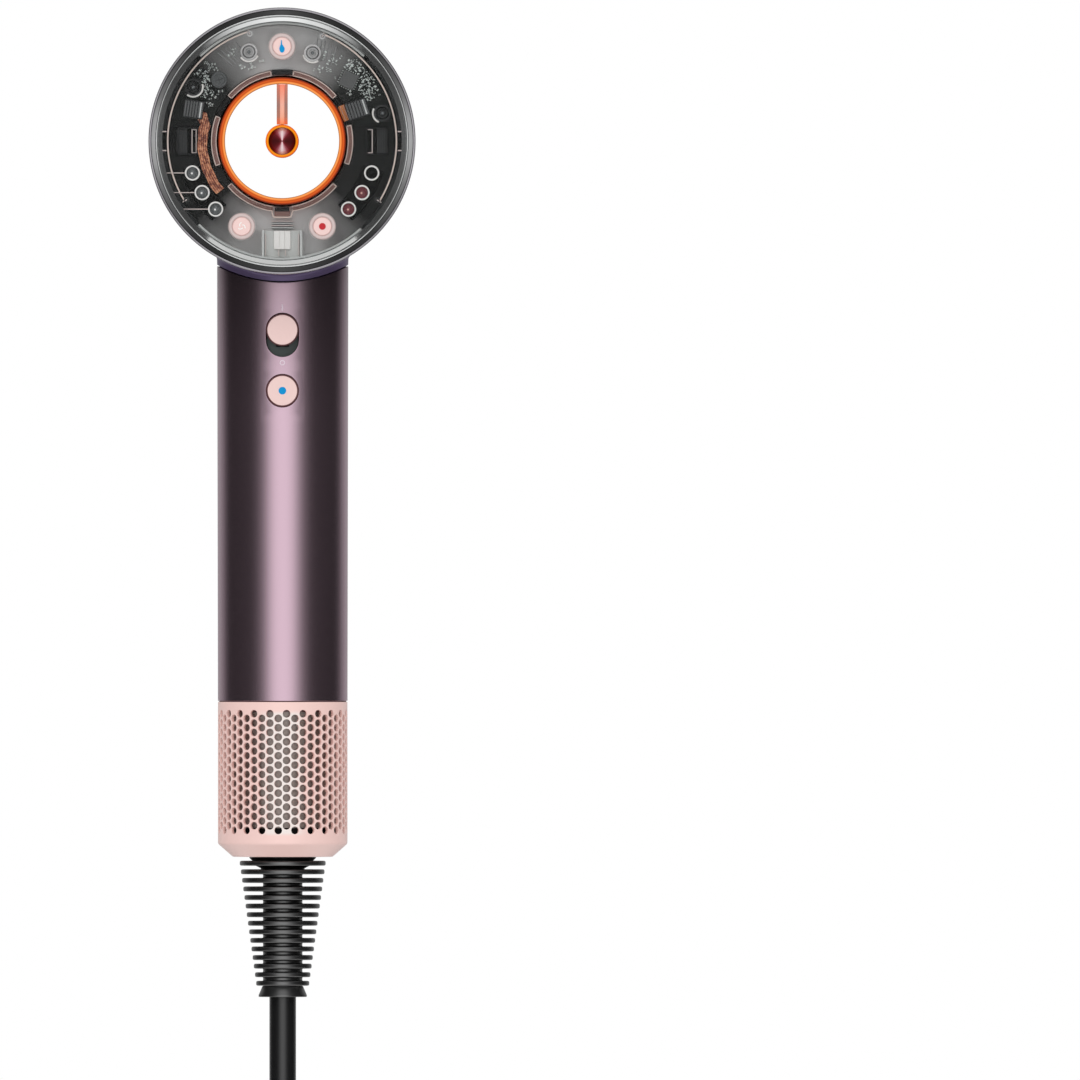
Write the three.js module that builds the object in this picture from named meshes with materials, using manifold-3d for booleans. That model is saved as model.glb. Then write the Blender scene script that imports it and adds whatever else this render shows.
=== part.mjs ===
// A hair dryer with its motor in the handle: a round head with an open bore, a clear rear cover over
// the controls, a straight tube for a handle, and a filter cage that pulls off the handle's foot.
// Millimetres, +Z up. The origin is on the handle's axis at the middle of the grip. The head's axis lies
// along Y: the clear cover faces -Y and the air leaves towards +Y. The cord hangs down, folded into a hank.
import * as THREE from "three";
import { mergeVertices } from "three/addons/utils/BufferGeometryUtils.js";
import Module from "manifold-3d";

const wasm = await Module();
wasm.setup();

// ---------------------------------------------------------------- driving dimensions
const GAP = 0.3; // room between neighbouring pieces
const OUTER_ROUND = 60; // sides of the casings
const ROUND = 32; // sides of the round pieces inside
const SMALL_ROUND = 16; // sides of a small one

const HEAD_Z = 110; // height of the head's axis above the origin
const HEAD_R = 38.6;
const HEAD_FRONT_R = 38.0; // the head narrows a little towards the front
const REAR_Y = -38.6;
const CHAMFER_Y = 46.4;
const FRONT_Y = 58.6;
const FRONT_R = 28.95;
const WALL = 1.8;
const COVER_T = 2.1;
const BORE_R = 16.5;
const BORE_DRAFT = 0.9; // the bore widens by this much towards the front
const BELL_R = 19.8; // bell mouth at the front of the bore
const LINER_REAR = -32.8;
const LINER_T = 1.2;
const LIP_R = 27.2; // inside of the shell's front lip

const HANDLE_R = 18.78; // at the foot of the tube
const HANDLE_TOP_R = 19.04; // the tube widens a little towards the head
const TUBE_T = 1.3;
const TUBE_FOOT = -51.9;
const SEAM_R = 40.3; // the tube's saddle-shaped top end lies on a cylinder about the head's axis
const NECK_R = 14; // air passage from the handle into the head

const SLIDER_Z = 55.5;
const SLIDER_R = 4.4;
const SLIDER_TRAVEL = 2.9;
const COOL_Z = 37.9;
const COOL_R = 4.5;
const CONTROL_HOLE_R = 4.82;
const CONTROL_FLOOR_Y = -16.2; // bottom of the recess that the slider moves in

const BUTTON_RING = 27.3; // the rear buttons' distance from the head's axis
const BUTTON_R = 3.9;
const LIGHT_RING = 27.5;
const LIGHT_R = 2.2;
const LIGHT_ANGLES = [19.6, 32.8, 45.7]; // below the horizontal
const BOARD_Y = -31.5; // component side of the main board
const BOARD_T = 1.5;

const CAGE_R = 18.75;
const CAGE_T = 1.2;
const CAGE_CHAMFER_Z = -93.3;
const CAGE_FOOT = -97.1;
const CAGE_FOOT_R = 14.3;
const CAGE_MOUTH_R = 12.8; // the cage comes off over the strain relief
const CAGE_SLOTS = 20;

const FLANGES = 15;
const FLANGE_PITCH = 2.485;
const FLANGE_T = 1.4;
const FIRST_FLANGE_Z = -98.96;
const FIRST_FLANGE_R = 12.45;
const LAST_FLANGE_R = 7.7;
const RELIEF_CORE_R = 5.7;
const RELIEF_FOOT = -137.7;

const CORD_D = 7.7;
const CORD_SIDES = 10;
const CORD_STEP = 2.5 * CORD_D;
const STRAND = 7.9; // spacing of the strands in the hank
const FOLD_R = 3 * CORD_D; // the innermost fold
const HANK_TOP = -172;
const HANK_WAIST = 14; // half the length that the tie holds together
const HANK_FLARE = 46; // height over which the strands spread to the folds
const HANK_LAYERS = 3; // behind the layer that holds the lead
const TIE_T = 1.4;
const TIE_H = 22;
const TAIL_X = -20;
const PLUG_TOP_DROP = 45; // plug's top below the centre of the lower fold
const PLUG_NECK = 14;
const PLUG_BODY = 30;
const PLUG_W = 35.3;
const PLUG_D = 26;
const PLUG_CORNER = 9;
const PLUG_NECK_R = 9.5;
const PIN_R = 2.4;
const PIN_PITCH = 19;
const PIN_L = 19;

const MOTOR_R = 14.5;
const MOTOR_FOOT = -42;
const MOTOR_TOP = 4;

// ---------------------------------------------------------------- finishes
const finish = (name, color, roughness, metalness = 0, opacity = 1) =>
  new THREE.MeshStandardMaterial({ name, color, roughness, metalness, opacity, transparent: opacity < 1 });
const purple = finish("purple_paint", 0x4a3f57, 0.45, 0.3);
const mauve = finish("mauve_metal", 0x7d6472, 0.32, 0.9);
const pink = finish("pink_plastic", 0xf3c9c0, 0.5);
const clear = finish("clear_plastic", 0xe8ecec, 0.05, 0, 0.3);
const frost = finish("light_guide", 0xf4f0ec, 0.3, 0, 0.8);
const black = finish("black_rubber", 0x141414, 0.7);
const dark = finish("dark_plastic", 0x26292a, 0.5);
const green = finish("board_laminate", 0x1d211f, 0.6);
const orange = finish("glowing_guide", 0xf07018, 0.3);
const copper = finish("copper_foil", 0xa86244, 0.4, 0.7);
const steel = finish("steel", 0x9a9c9e, 0.3, 1);
const mica = finish("mica", 0xb9a98c, 0.8);
const lens = finish("sensor_metal", 0x5a1512, 0.25, 0.8);

// ---------------------------------------------------------------- shapes
function solid(geometry) {
  const bare = geometry.clone();
  bare.deleteAttribute("normal");
  bare.deleteAttribute("uv");
  const merged = mergeVertices(bare, 1e-4);
  const mesh = new wasm.Mesh({
    numProp: 3,
    vertProperties: merged.attributes.position.array,
    triVerts: new Uint32Array(merged.index.array),
  });
  return new wasm.Manifold(mesh);
}

function geometryOf(manifold) {
  const { vertProperties, triVerts } = manifold.getMesh();
  const geometry = new THREE.BufferGeometry();
  geometry.setAttribute("position", new THREE.BufferAttribute(vertProperties, 3));
  geometry.setIndex(new THREE.BufferAttribute(triVerts, 1));
  geometry.computeVertexNormals();
  return geometry;
}

const join = (first, ...rest) => geometryOf(rest.reduce((sum, g) => sum.add(solid(g)), solid(first)));
const cut = (base, ...tools) => geometryOf(tools.reduce((left, g) => left.subtract(solid(g)), solid(base)));
const common = (a, b) => geometryOf(solid(a).intersect(solid(b)));

// A turned piece about Y. The profile is a list of [radius, height], anticlockwise with the radius to the
// right; it closes on itself unless both its ends are on the axis.
function turned(profile, sides = ROUND) {
  const points = profile.map(([r, h]) => new THREE.Vector2(r, h));
  const onAxis = profile[0][0] === 0 && profile.at(-1)[0] === 0;
  if (!onAxis) points.push(points[0].clone());
  return new THREE.LatheGeometry(points, sides);
}

const ring = (inner, outer, low, high, sides = ROUND) =>
  turned([[inner, low], [outer, low], [outer, high], [inner, high]], sides);
const disc = (r, low, high, sides = ROUND) => turned([[0, low], [r, low], [r, high], [0, high]], sides);
const upright = (geometry) => geometry.rotateX(Math.PI / 2); // from about Y to about Z
const box = (x0, x1, y0, y1, z0, z1) =>
  new THREE.BoxGeometry(x1 - x0, y1 - y0, z1 - z0).translate((x0 + x1) / 2, (y0 + y1) / 2, (z0 + z1) / 2);

// A flat piece whose outline is drawn in the XZ plane, from y0 to y1.
const slab = (shape, y0, y1, curveSegments = 12) =>
  new THREE.ExtrudeGeometry(shape, { depth: y1 - y0, bevelEnabled: false, curveSegments })
    .rotateX(Math.PI / 2)
    .translate(0, y1, 0);

const radians = THREE.MathUtils.degToRad;
const polar = (r, degrees) => [r * Math.cos(radians(degrees)), r * Math.sin(radians(degrees))];

function band(inner, outer, from, to) {
  const shape = new THREE.Shape();
  shape.absarc(0, 0, outer, radians(from), radians(to), false);
  shape.absarc(0, 0, inner, radians(to), radians(from), true);
  return shape;
}

// A slot with round ends, upright in the XZ plane.
function stadium(r, low, high) {
  const shape = new THREE.Shape();
  shape.absarc(0, high, r, 0, Math.PI, false);
  shape.absarc(0, low, r, Math.PI, 2 * Math.PI, false);
  return shape;
}

const root = new THREE.Group();
const head = new THREE.Group();
head.position.z = HEAD_Z;
root.add(head);

function add(parent, name, geometry, material) {
  const mesh = new THREE.Mesh(geometry, material);
  mesh.name = name;
  parent.add(mesh);
}

// ---------------------------------------------------------------- head
function headShell() {
  const rear = REAR_Y + COVER_T + 0.2;
  const outside = [[0, rear], [HEAD_R, rear], [HEAD_FRONT_R, CHAMFER_Y], [FRONT_R, FRONT_Y], [0, FRONT_Y]];
  const inside = [
    [0, rear - 1],
    [HEAD_R - WALL, rear - 1],
    [HEAD_FRONT_R - WALL, CHAMFER_Y - WALL / 2],
    [LIP_R, FRONT_Y - WALL],
    [LIP_R, FRONT_Y + 1],
    [0, FRONT_Y + 1],
  ];
  const collar = common(
    upright(disc(HANDLE_TOP_R, -SEAM_R - 5, -HEAD_R / 2)),
    disc(SEAM_R - GAP / 2, -HANDLE_TOP_R - 5, HANDLE_TOP_R + 5, OUTER_ROUND),
  );
  const spigot = upright(disc(HANDLE_R - TUBE_T - GAP, -SEAM_R - 3, -HEAD_R / 2));
  const body = join(turned(outside, OUTER_ROUND), collar, spigot);
  return cut(body, turned(inside, OUTER_ROUND), upright(disc(NECK_R, -SEAM_R - 20, -HEAD_R / 2)));
}

function rearCover() {
  const inner = BORE_R + 2.2;
  const plate = turned(
    [
      [inner, REAR_Y + COVER_T],
      [inner, REAR_Y],
      [HEAD_R - 0.8, REAR_Y],
      [HEAD_R, REAR_Y + 0.8],
      [HEAD_R, REAR_Y + COVER_T],
    ],
    OUTER_ROUND,
  );
  const holes = Object.values(BUTTONS).map(([x, z]) =>
    disc(BUTTON_R + GAP, REAR_Y - 1, REAR_Y + COVER_T + 1, SMALL_ROUND).translate(x, 0, z),
  );
  return cut(plate, ...holes);
}

const BUTTONS = {
  temperature_button: polar(BUTTON_RING, 90),
  airflow_button: polar(BUTTON_RING, 244.7),
  mode_button: polar(BUTTON_RING, 295.3),
};

const rearButton = () =>
  turned(
    [
      [0, REAR_Y + 0.1],
      [BUTTON_R - 0.4, REAR_Y + 0.1],
      [BUTTON_R, REAR_Y + 0.6],
      [BUTTON_R, REAR_Y + 4.4],
      [1.6, REAR_Y + 4.4],
      [1.6, REAR_Y + 6.1],
      [0, REAR_Y + 6.1],
    ],
    SMALL_ROUND,
  );

// One moulding with three round heads on an arc.
function lightPipe(side) {
  const angle = (below) => (side > 0 ? -below : 180 + below);
  const ends = [angle(LIGHT_ANGLES[0] - 3), angle(LIGHT_ANGLES[2] + 3)].sort((a, b) => a - b);
  const strip = slab(band(LIGHT_RING - 1.2, LIGHT_RING + 1.2, ...ends), BOARD_Y - 0.5, BOARD_Y + BOARD_T);
  const heads = LIGHT_ANGLES.map((below) => {
    const [x, z] = polar(LIGHT_RING, angle(below));
    return disc(LIGHT_R, REAR_Y + COVER_T + 0.5, BOARD_Y, SMALL_ROUND).translate(x, 0, z);
  });
  return join(strip, ...heads);
}

// The dark moulding behind the board, with a window for each control socket and posts for the buttons.
function controlFrame() {
  const back = BOARD_Y + BOARD_T + GAP;
  const plate = ring(BORE_R + 2.7, HEAD_R - WALL - 0.5, back, back + 2.5);
  const rim = ring(HEAD_R - WALL - 2.5, HEAD_R - WALL - 0.5, -35, back + 0.1);
  const windows = [-1, 1].map((side) =>
    box(side * 27.5 - 2.9, side * 27.5 + 2.9, back - 1, back + 1.5, -3.7, 3.7),
  );
  return cut(join(plate, rim), ...windows);
}

const mainBoard = () => slab(band(BORE_R + 4.2, HEAD_R - WALL - 3, 11, 169), BOARD_Y, BOARD_Y + BOARD_T);
const flexCable = () => slab(band(21.6, 24.2, 171, 219), BOARD_Y - 1.2, BOARD_Y - 0.7);

function boreLiner() {
  const frontR = BORE_R + BORE_DRAFT;
  return turned([
    [BORE_R, LINER_REAR],
    [BORE_R + LINER_T, LINER_REAR],
    [frontR + LINER_T, 40],
    [BELL_R + 1.4, 55],
    [BELL_R + 1.4, FRONT_Y - 1],
    [BELL_R, FRONT_Y - 0.5],
    [frontR, FRONT_Y - 10],
  ]);
}

function headPieces() {
  add(head, "head_shell", headShell(), purple);
  add(head, "rear_cover", rearCover(), clear);
  add(head, "cover_gasket", ring(35.4, 36.6, -36.3, -35.2), black);
  add(head, "glow_ring", ring(BORE_R, BORE_R + 1.9, REAR_Y + 0.3, -33.1), orange);
  add(head, "bore_liner", boreLiner(), pink);
  add(head, "control_frame", controlFrame(), dark);
  add(head, "main_board", mainBoard(), green);
  add(head, "flex_cable", flexCable(), copper);
  for (const [name, [x, z]] of Object.entries(BUTTONS))
    add(head, name, rearButton().translate(x, 0, z), pink);
  add(head, "light_pipe_left", lightPipe(-1), frost);
  add(head, "light_pipe_right", lightPipe(1), frost);
}

function boardPieces() {
  const onBoard = BOARD_Y - 0.2;
  const left = box(-2.95, 2.95, onBoard - 3.3, onBoard, -2.7, 2.7).rotateY(radians(8));
  add(head, "connector_left", left.translate(-25.6, 0, 9.2), dark);
  const right = box(-3.3, 3.3, onBoard - 3.3, onBoard, -2.7, 2.7).rotateY(radians(-18));
  add(head, "connector_right", right.translate(21.7, 0, 9.2), dark);
  const capacitor = disc(2.4, onBoard - 3.8, onBoard, SMALL_ROUND);
  add(head, "board_capacitor", capacitor.translate(-18.2, 0, 17.7), steel);
  const chip = box(-2.4, 2.4, onBoard - 0.9, onBoard, -2.4, 2.4).rotateY(radians(25));
  add(head, "board_chip", chip.translate(19.2, 0, 17.7), dark);
  const screws = [[-25.7, 15.6], [-9.6, 25.8], [8.8, 25.5], [29.0, 8.1]];
  screws.forEach(([x, z], i) => {
    const screw = turned(
      [[0, onBoard - 1.6], [1.5, onBoard - 1.6], [1.9, onBoard - 1.2], [1.9, onBoard], [0, onBoard]],
      SMALL_ROUND,
    );
    add(head, `frame_screw_${i + 1}`, screw.translate(x, 0, z), steel);
  });
}

const POD_R = 4.8;

// A small pod in the middle of the bore, on a strut from the bore's top.
function sensorPieces() {
  const pod = turned(
    [
      [0, -30.6],
      [3.9, -30.6],
      [3.9, -32.5],
      [POD_R, -32.5],
      [POD_R, -24],
      [3.2, -18.5],
      [0, -17],
    ],
    SMALL_ROUND,
  );
  add(head, "sensor_pod", pod, dark);
  add(head, "pod_glow_ring", ring(3.9, POD_R, -34, -32.7, SMALL_ROUND), orange);
  const cone = turned([[0, -33.2], [0.8, -33.2], [3.6, -31.8], [3.6, -30.8], [0, -30.8]], SMALL_ROUND);
  add(head, "sensor_cone", cone, lens);
  add(head, "sensor_strut", box(-1.6, 1.6, -31, -25.5, POD_R + 0.2, BORE_R - 0.3), mauve);
}

const HEATER_REAR = 16;
const FORMER_FRONT = 39;
const HEATER_FRONT = 45;
const COIL_R = 30.9;
const COIL_TURNS = 4.5;
const COIL_STEPS = 63;

// A wire wound on mica vanes around the bore, inside a mica sleeve.
function heaterPieces() {
  const coreR = BORE_R + BORE_DRAFT + LINER_T + GAP;
  const core = ring(coreR, coreR + 0.8, HEATER_REAR, FORMER_FRONT);
  const vanes = Array.from({ length: 8 }, (_, i) =>
    box(coreR + 0.4, 28.6, HEATER_REAR, FORMER_FRONT, -0.4, 0.4).rotateY((i * Math.PI) / 4),
  );
  add(head, "heater_former", join(core, ...vanes), mica);

  const points = Array.from({ length: COIL_STEPS + 1 }, (_, i) => {
    const angle = (2 * Math.PI * COIL_TURNS * i) / COIL_STEPS;
    const y = THREE.MathUtils.lerp(HEATER_REAR + 2, FORMER_FRONT - 2, i / COIL_STEPS);
    return new THREE.Vector3(COIL_R * Math.cos(angle), y, COIL_R * Math.sin(angle));
  });
  const wire = alongCurve(new THREE.CatmullRomCurve3(points), 0.8, 5, COIL_STEPS);
  add(head, "heater_coil", wire, steel);
  add(head, "heater_sleeve", ring(33, 33.6, HEATER_REAR - 0.5, HEATER_FRONT), mica);
  add(head, "thermal_cutout", box(-4, 4, -4, 4, 24, 28), steel);
  add(head, "outlet_ring", ring(24.4, LIP_R - GAP, FRONT_Y - 3.3, FRONT_Y - 0.3), steel);
}

// A round bar along a curve, cut square at both ends.
function alongCurve(curve, r, sides, steps) {
  const section = new THREE.Shape();
  for (let i = 0; i < sides; i += 1) {
    const [x, y] = polar(r, (360 * i) / sides);
    if (i === 0) section.moveTo(x, y);
    else section.lineTo(x, y);
  }
  return new THREE.ExtrudeGeometry(section, { steps, bevelEnabled: false, extrudePath: curve });
}

// ---------------------------------------------------------------- handle
function handleTube() {
  const top = HEAD_Z - HEAD_R / 2;
  const wall = [
    [HANDLE_R - TUBE_T, TUBE_FOOT],
    [HANDLE_R, TUBE_FOOT],
    [HANDLE_TOP_R, top],
    [HANDLE_TOP_R - TUBE_T, top],
  ];
  const tube = upright(turned(wall, OUTER_ROUND));
  const saddle = disc(SEAM_R + GAP / 2, -HANDLE_R - 5, HANDLE_R + 5, OUTER_ROUND).translate(0, 0, HEAD_Z);
  const slider = slab(
    stadium(CONTROL_HOLE_R, SLIDER_Z - SLIDER_TRAVEL - 0.1, SLIDER_Z + 0.1),
    -HANDLE_R - 2,
    -HANDLE_R / 2,
  );
  const cool = disc(CONTROL_HOLE_R, -HANDLE_R - 2, -HANDLE_R / 2, SMALL_ROUND).translate(0, 0, COOL_Z);
  return cut(tube, saddle, slider, cool);
}

function switchHousing() {
  const block = box(-6, 6, CONTROL_FLOOR_Y, -12.5, 30, 65);
  const stemSlot = box(-1.9, 1.9, -20, -10, SLIDER_Z - SLIDER_TRAVEL - 2, SLIDER_Z + 2);
  const pocket = disc(COOL_R + GAP, -20, -14, SMALL_ROUND).translate(0, 0, COOL_Z);
  const plungerHole = disc(1.7, -20, -10, SMALL_ROUND).translate(0, 0, COOL_Z);
  return cut(block, stemSlot, pocket, plungerHole);
}

function powerSlider() {
  const cap = turned(
    [
      [0, -20.2],
      [SLIDER_R - 0.3, -20.2],
      [SLIDER_R, -19.9],
      [SLIDER_R, CONTROL_FLOOR_Y - GAP],
      [0, CONTROL_FLOOR_Y - GAP],
    ],
    SMALL_ROUND,
  );
  const stem = box(-1.5, 1.5, CONTROL_FLOOR_Y - 1, -12.8, -1.5, 1.5);
  return join(cap, stem).translate(0, 0, SLIDER_Z);
}

function coolButton() {
  const top = -19.2;
  return turned(
    [
      [0, top],
      [COOL_R - 0.25, top],
      [COOL_R, top + 0.25],
      [COOL_R, -15.4],
      [1.3, -15.4],
      [1.3, -13.4],
      [0, -13.4],
    ],
    SMALL_ROUND,
  ).translate(0, 0, COOL_Z);
}

// The motor's can, with two spiders that carry the bearings.
function motorHousing() {
  const can = upright(ring(MOTOR_R - 1, MOTOR_R, MOTOR_FOOT, MOTOR_TOP));
  const pieces = [can];
  for (const z of [-38, -19]) {
    pieces.push(upright(ring(4.9, 6, z, z + 3, SMALL_ROUND)));
    for (let i = 0; i < 3; i += 1)
      pieces.push(box(5.5, MOTOR_R - 0.5, -0.6, 0.6, z + 0.3, z + 2.7).rotateZ((2 * Math.PI * i) / 3));
  }
  return join(...pieces);
}

function statorCore() {
  const yoke = upright(ring(10.8, 12.9, -33, -22));
  const poles = Array.from({ length: 4 }, (_, i) =>
    box(5.4, 11.2, -2.2, 2.2, -33, -22).rotateZ((Math.PI * i) / 2),
  );
  return join(yoke, ...poles);
}

const rotorShaft = () =>
  upright(
    turned(
      [[0, -39], [1.5, -39], [1.5, -33.5], [4.6, -33.5], [4.6, -21.5], [1.5, -21.5], [1.5, -6], [0, -6]],
      SMALL_ROUND,
    ),
  );

// Flat blades from a hub at hubR to tipR, each leaning by an angle about its own length.
function bladeFan(count, hubR, tipR, low, high, lean) {
  const half = (high - low) / 2 / Math.cos(lean);
  return Array.from({ length: count }, (_, i) =>
    box(hubR, tipR, -0.35, 0.35, -half, half)
      .rotateX(lean)
      .translate(0, 0, (low + high) / 2)
      .rotateZ((2 * Math.PI * i) / count),
  );
}

function impeller() {
  const hub = upright(
    turned([[1.8, -13.5], [6.4, -13.5], [5.6, -8.2], [3.4, -6.2], [1.8, -6.2]], 22),
  );
  return join(hub, ...bladeFan(11, 4.6, 12.6, -12.8, -8.6, radians(35)));
}

function diffuser() {
  const rim = upright(ring(12.2, MOTOR_R - 1 - GAP, -3.5, 3.5));
  const hub = upright(disc(4.6, -3.5, 3.5, SMALL_ROUND));
  return join(rim, hub, ...bladeFan(9, 3.8, 12.6, -2.6, 2.6, radians(-20)));
}

function motorPieces() {
  add(root, "motor_housing", motorHousing(), steel);
  add(root, "motor_mount", upright(ring(MOTOR_R + GAP, HANDLE_R - TUBE_T - GAP, -36, -10)), black);
  add(root, "stator_core", statorCore(), steel);
  add(root, "stator_winding", upright(ring(7, 10.4, -21.7, -20)), copper);
  add(root, "rotor_shaft", rotorShaft(), steel);
  add(root, "bearing_lower", upright(ring(1.6, 4.6, -37.6, -35.4, SMALL_ROUND)), steel);
  add(root, "bearing_upper", upright(ring(1.6, 4.6, -18.6, -16.4, SMALL_ROUND)), steel);
  add(root, "impeller", impeller(), dark);
  add(root, "diffuser", diffuser(), dark);
}

// ---------------------------------------------------------------- filter
function filterCage() {
  const top = TUBE_FOOT - GAP;
  const inner = CAGE_R - CAGE_T;
  const wall = upright(
    turned([
      [CAGE_MOUTH_R, CAGE_FOOT],
      [CAGE_FOOT_R, CAGE_FOOT],
      [CAGE_R, CAGE_CHAMFER_Z],
      [CAGE_R, top],
      [inner, top],
      [inner, CAGE_CHAMFER_Z + 0.5],
      [CAGE_FOOT_R, CAGE_FOOT + 1.5],
      [CAGE_MOUTH_R, CAGE_FOOT + 1.5],
    ]),
  );
  const slots = Array.from({ length: CAGE_SLOTS }, (_, i) =>
    box(inner - 2, CAGE_R + 2, -0.9, 0.9, -90.5, -54.5).rotateZ((2 * Math.PI * (i + 0.5)) / CAGE_SLOTS),
  );
  return cut(wall, ...slots);
}

// Four ribs between two rings, which hold the end plate and carry the filter mesh.
function intakeFrame() {
  const rings = [[-93.8, -91.5], [-50.5, -46]].map(([low, high]) => upright(ring(13.4, 15.7, low, high)));
  const ribs = Array.from({ length: 4 }, (_, i) =>
    box(13.5, 15.6, -1.2, 1.2, -93, -47).rotateZ((Math.PI * (i + 0.5)) / 2),
  );
  return join(...rings, ...ribs);
}

function strainRelief() {
  const profile = [[0, RELIEF_FOOT], [7, RELIEF_FOOT], [5.9, RELIEF_FOOT + 3.1], [RELIEF_CORE_R, -134.6]];
  for (let i = FLANGES - 1; i >= 0; i -= 1) {
    const z = FIRST_FLANGE_Z - i * FLANGE_PITCH;
    const r = THREE.MathUtils.lerp(FIRST_FLANGE_R, LAST_FLANGE_R, i / (FLANGES - 1));
    profile.push([RELIEF_CORE_R, z - FLANGE_T / 2], [r, z - FLANGE_T / 2]);
    profile.push([r, z + FLANGE_T / 2], [RELIEF_CORE_R, z + FLANGE_T / 2]);
  }
  profile.pop();
  profile.push([9.4, FIRST_FLANGE_Z + FLANGE_T / 2], [9.4, CAGE_FOOT - 0.1], [0, CAGE_FOOT - 0.1]);
  return upright(turned(profile, SMALL_ROUND));
}

function handlePieces() {
  add(root, "handle_tube", handleTube(), mauve);
  add(root, "switch_housing", switchHousing(), dark);
  add(root, "power_slider", powerSlider(), pink);
  add(root, "cool_button", coolButton(), pink);
  add(root, "switch_block", box(-4, 4, -12.2, -10, 33, 60), dark);
  add(root, "switch_board", box(-8, 8, -9.7, -8.5, 28, 66), green);
  add(root, "filter_cage", filterCage(), pink);
  add(root, "filter_mesh", upright(ring(16.1, 16.7, -93, -52.3)), steel);
  add(root, "intake_frame", intakeFrame(), dark);
  add(root, "end_plate", upright(ring(3.2, 12.4, CAGE_FOOT + 0.2, -95.1)), black);
  add(root, "supply_lead", upright(disc(2.6, -94.9, -42.5, 12)), black);
  add(root, "strain_relief", strainRelief(), black);
}

// ---------------------------------------------------------------- cord
const HANK_FOLD_Z = HANK_WAIST + HANK_FLARE; // centre of a fold from the middle of the hank
const OUTER_FOLD_R = FOLD_R + STRAND;
const HANK_EDGE = OUTER_FOLD_R + CORD_D / 2 + 0.15; // outside of the hank from the centre of a fold
const HANK_Z = HANK_TOP - HANK_EDGE - HANK_FOLD_Z;
const HANK_WAIST_R = HANK_EDGE - FOLD_R + STRAND / 2; // half the width of the waist
const HANK_Y = (HANK_LAYERS * STRAND) / 2; // middle of the hank, front to back
const HANK_HALF = HANK_Y + CORD_D / 2 + 0.15; // half its thickness
const TAIL_START = 31.5; // where the tail comes clear of the hank, below the centre of the lower fold

// How far a strand has moved sideways at height t of a flare: two equal arcs, one after the other.
function flare(t) {
  const side = FOLD_R - STRAND / 2;
  const r = (HANK_FLARE ** 2 + side ** 2) / (4 * side);
  if (t < HANK_FLARE / 2) return r - Math.sqrt(r * r - t * t);
  return side - r + Math.sqrt(r * r - (HANK_FLARE - t) ** 2);
}

// The hank's outline: a narrow waist, held by the tie, between two round folds.
function hankOutline() {
  const steps = 6;
  const heights = Array.from({ length: steps }, (_, i) => (HANK_FLARE * i) / steps);
  const flank = heights.map((t) => [HANK_WAIST_R + flare(t), HANK_WAIST + t]);
  const shape = new THREE.Shape();
  shape.absarc(0, HANK_FOLD_Z, HANK_EDGE, 0, Math.PI, false);
  for (const [x, z] of flank.toReversed()) shape.lineTo(-x, z);
  for (const [x, z] of flank) shape.lineTo(-x, -z);
  shape.absarc(0, -HANK_FOLD_Z, HANK_EDGE, Math.PI, 2 * Math.PI, false);
  for (const [x, z] of flank.toReversed()) shape.lineTo(x, -z);
  for (const [x, z] of flank) shape.lineTo(x, z);
  return shape;
}

function hankTie() {
  const around = (off) => {
    const x = HANK_WAIST_R + off;
    const y = HANK_HALF + off;
    return new THREE.Shape([[-x, -y], [x, -y], [x, y], [-x, y]].map((p) => new THREE.Vector2(...p)));
  };
  const shape = around(GAP + TIE_T);
  shape.holes.push(around(GAP));
  const strap = new THREE.ExtrudeGeometry(shape, { depth: TIE_H, bevelEnabled: false });
  return strap.translate(0, HANK_Y, HANK_Z - TIE_H / 2);
}

function plugBody(top) {
  const x = PLUG_W / 2 - PLUG_CORNER;
  const y = PLUG_D / 2 - PLUG_CORNER;
  const outline = new THREE.Shape();
  [[x, y], [-x, y], [-x, -y], [x, -y]].forEach(([cx, cy], i) => {
    outline.absarc(cx, cy, PLUG_CORNER, (i * Math.PI) / 2, ((i + 1) * Math.PI) / 2, false);
  });
  const options = { depth: PLUG_BODY, bevelEnabled: false, curveSegments: 5 };
  const shoulder = top - PLUG_NECK;
  const body = new THREE.ExtrudeGeometry(outline, options).translate(0, 0, shoulder - PLUG_BODY);
  const neck = [[0, shoulder - 1], [PLUG_NECK_R, shoulder - 1], [PLUG_NECK_R, shoulder], [6, top], [0, top]];
  return join(body, upright(turned(neck, SMALL_ROUND)));
}

function cordTube(from, to) {
  const steps = Math.ceil(from.distanceTo(to) / CORD_STEP);
  return alongCurve(new THREE.LineCurve3(from, to), CORD_D / 2, CORD_SIDES, steps);
}

function cordPieces() {
  const lead = [RELIEF_FOOT - GAP, HANK_TOP + GAP].map((z) => new THREE.Vector3(0, 0, z));
  add(root, "cord_lead", cordTube(...lead), black);
  const hank = slab(hankOutline(), HANK_Y - HANK_HALF, HANK_Y + HANK_HALF, 16).translate(0, 0, HANK_Z);
  add(root, "cord_hank", hank, black);
  add(root, "hank_tie", hankTie(), black);

  const tailY = HANK_LAYERS * STRAND;
  const fold = HANK_Z - HANK_FOLD_Z;
  const plugTop = fold - PLUG_TOP_DROP;
  const tail = [fold - TAIL_START, plugTop + GAP].map((z) => new THREE.Vector3(TAIL_X, tailY, z));
  add(root, "cord_tail", cordTube(...tail), black);
  add(root, "plug_body", plugBody(plugTop).translate(TAIL_X, tailY, 0), black);
  const pinTop = plugTop - PLUG_NECK - PLUG_BODY - GAP / 2;
  for (const [name, side] of [["plug_pin_left", -1], ["plug_pin_right", 1]]) {
    const pin = upright(disc(PIN_R, pinTop - PIN_L, pinTop, 16));
    add(root, name, pin.translate(TAIL_X + (side * PIN_PITCH) / 2, tailY, 0), steel);
  }
}

headPieces();
boardPieces();
sensorPieces();
heaterPieces();
handlePieces();
motorPieces();
cordPieces();

export default root;
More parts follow.
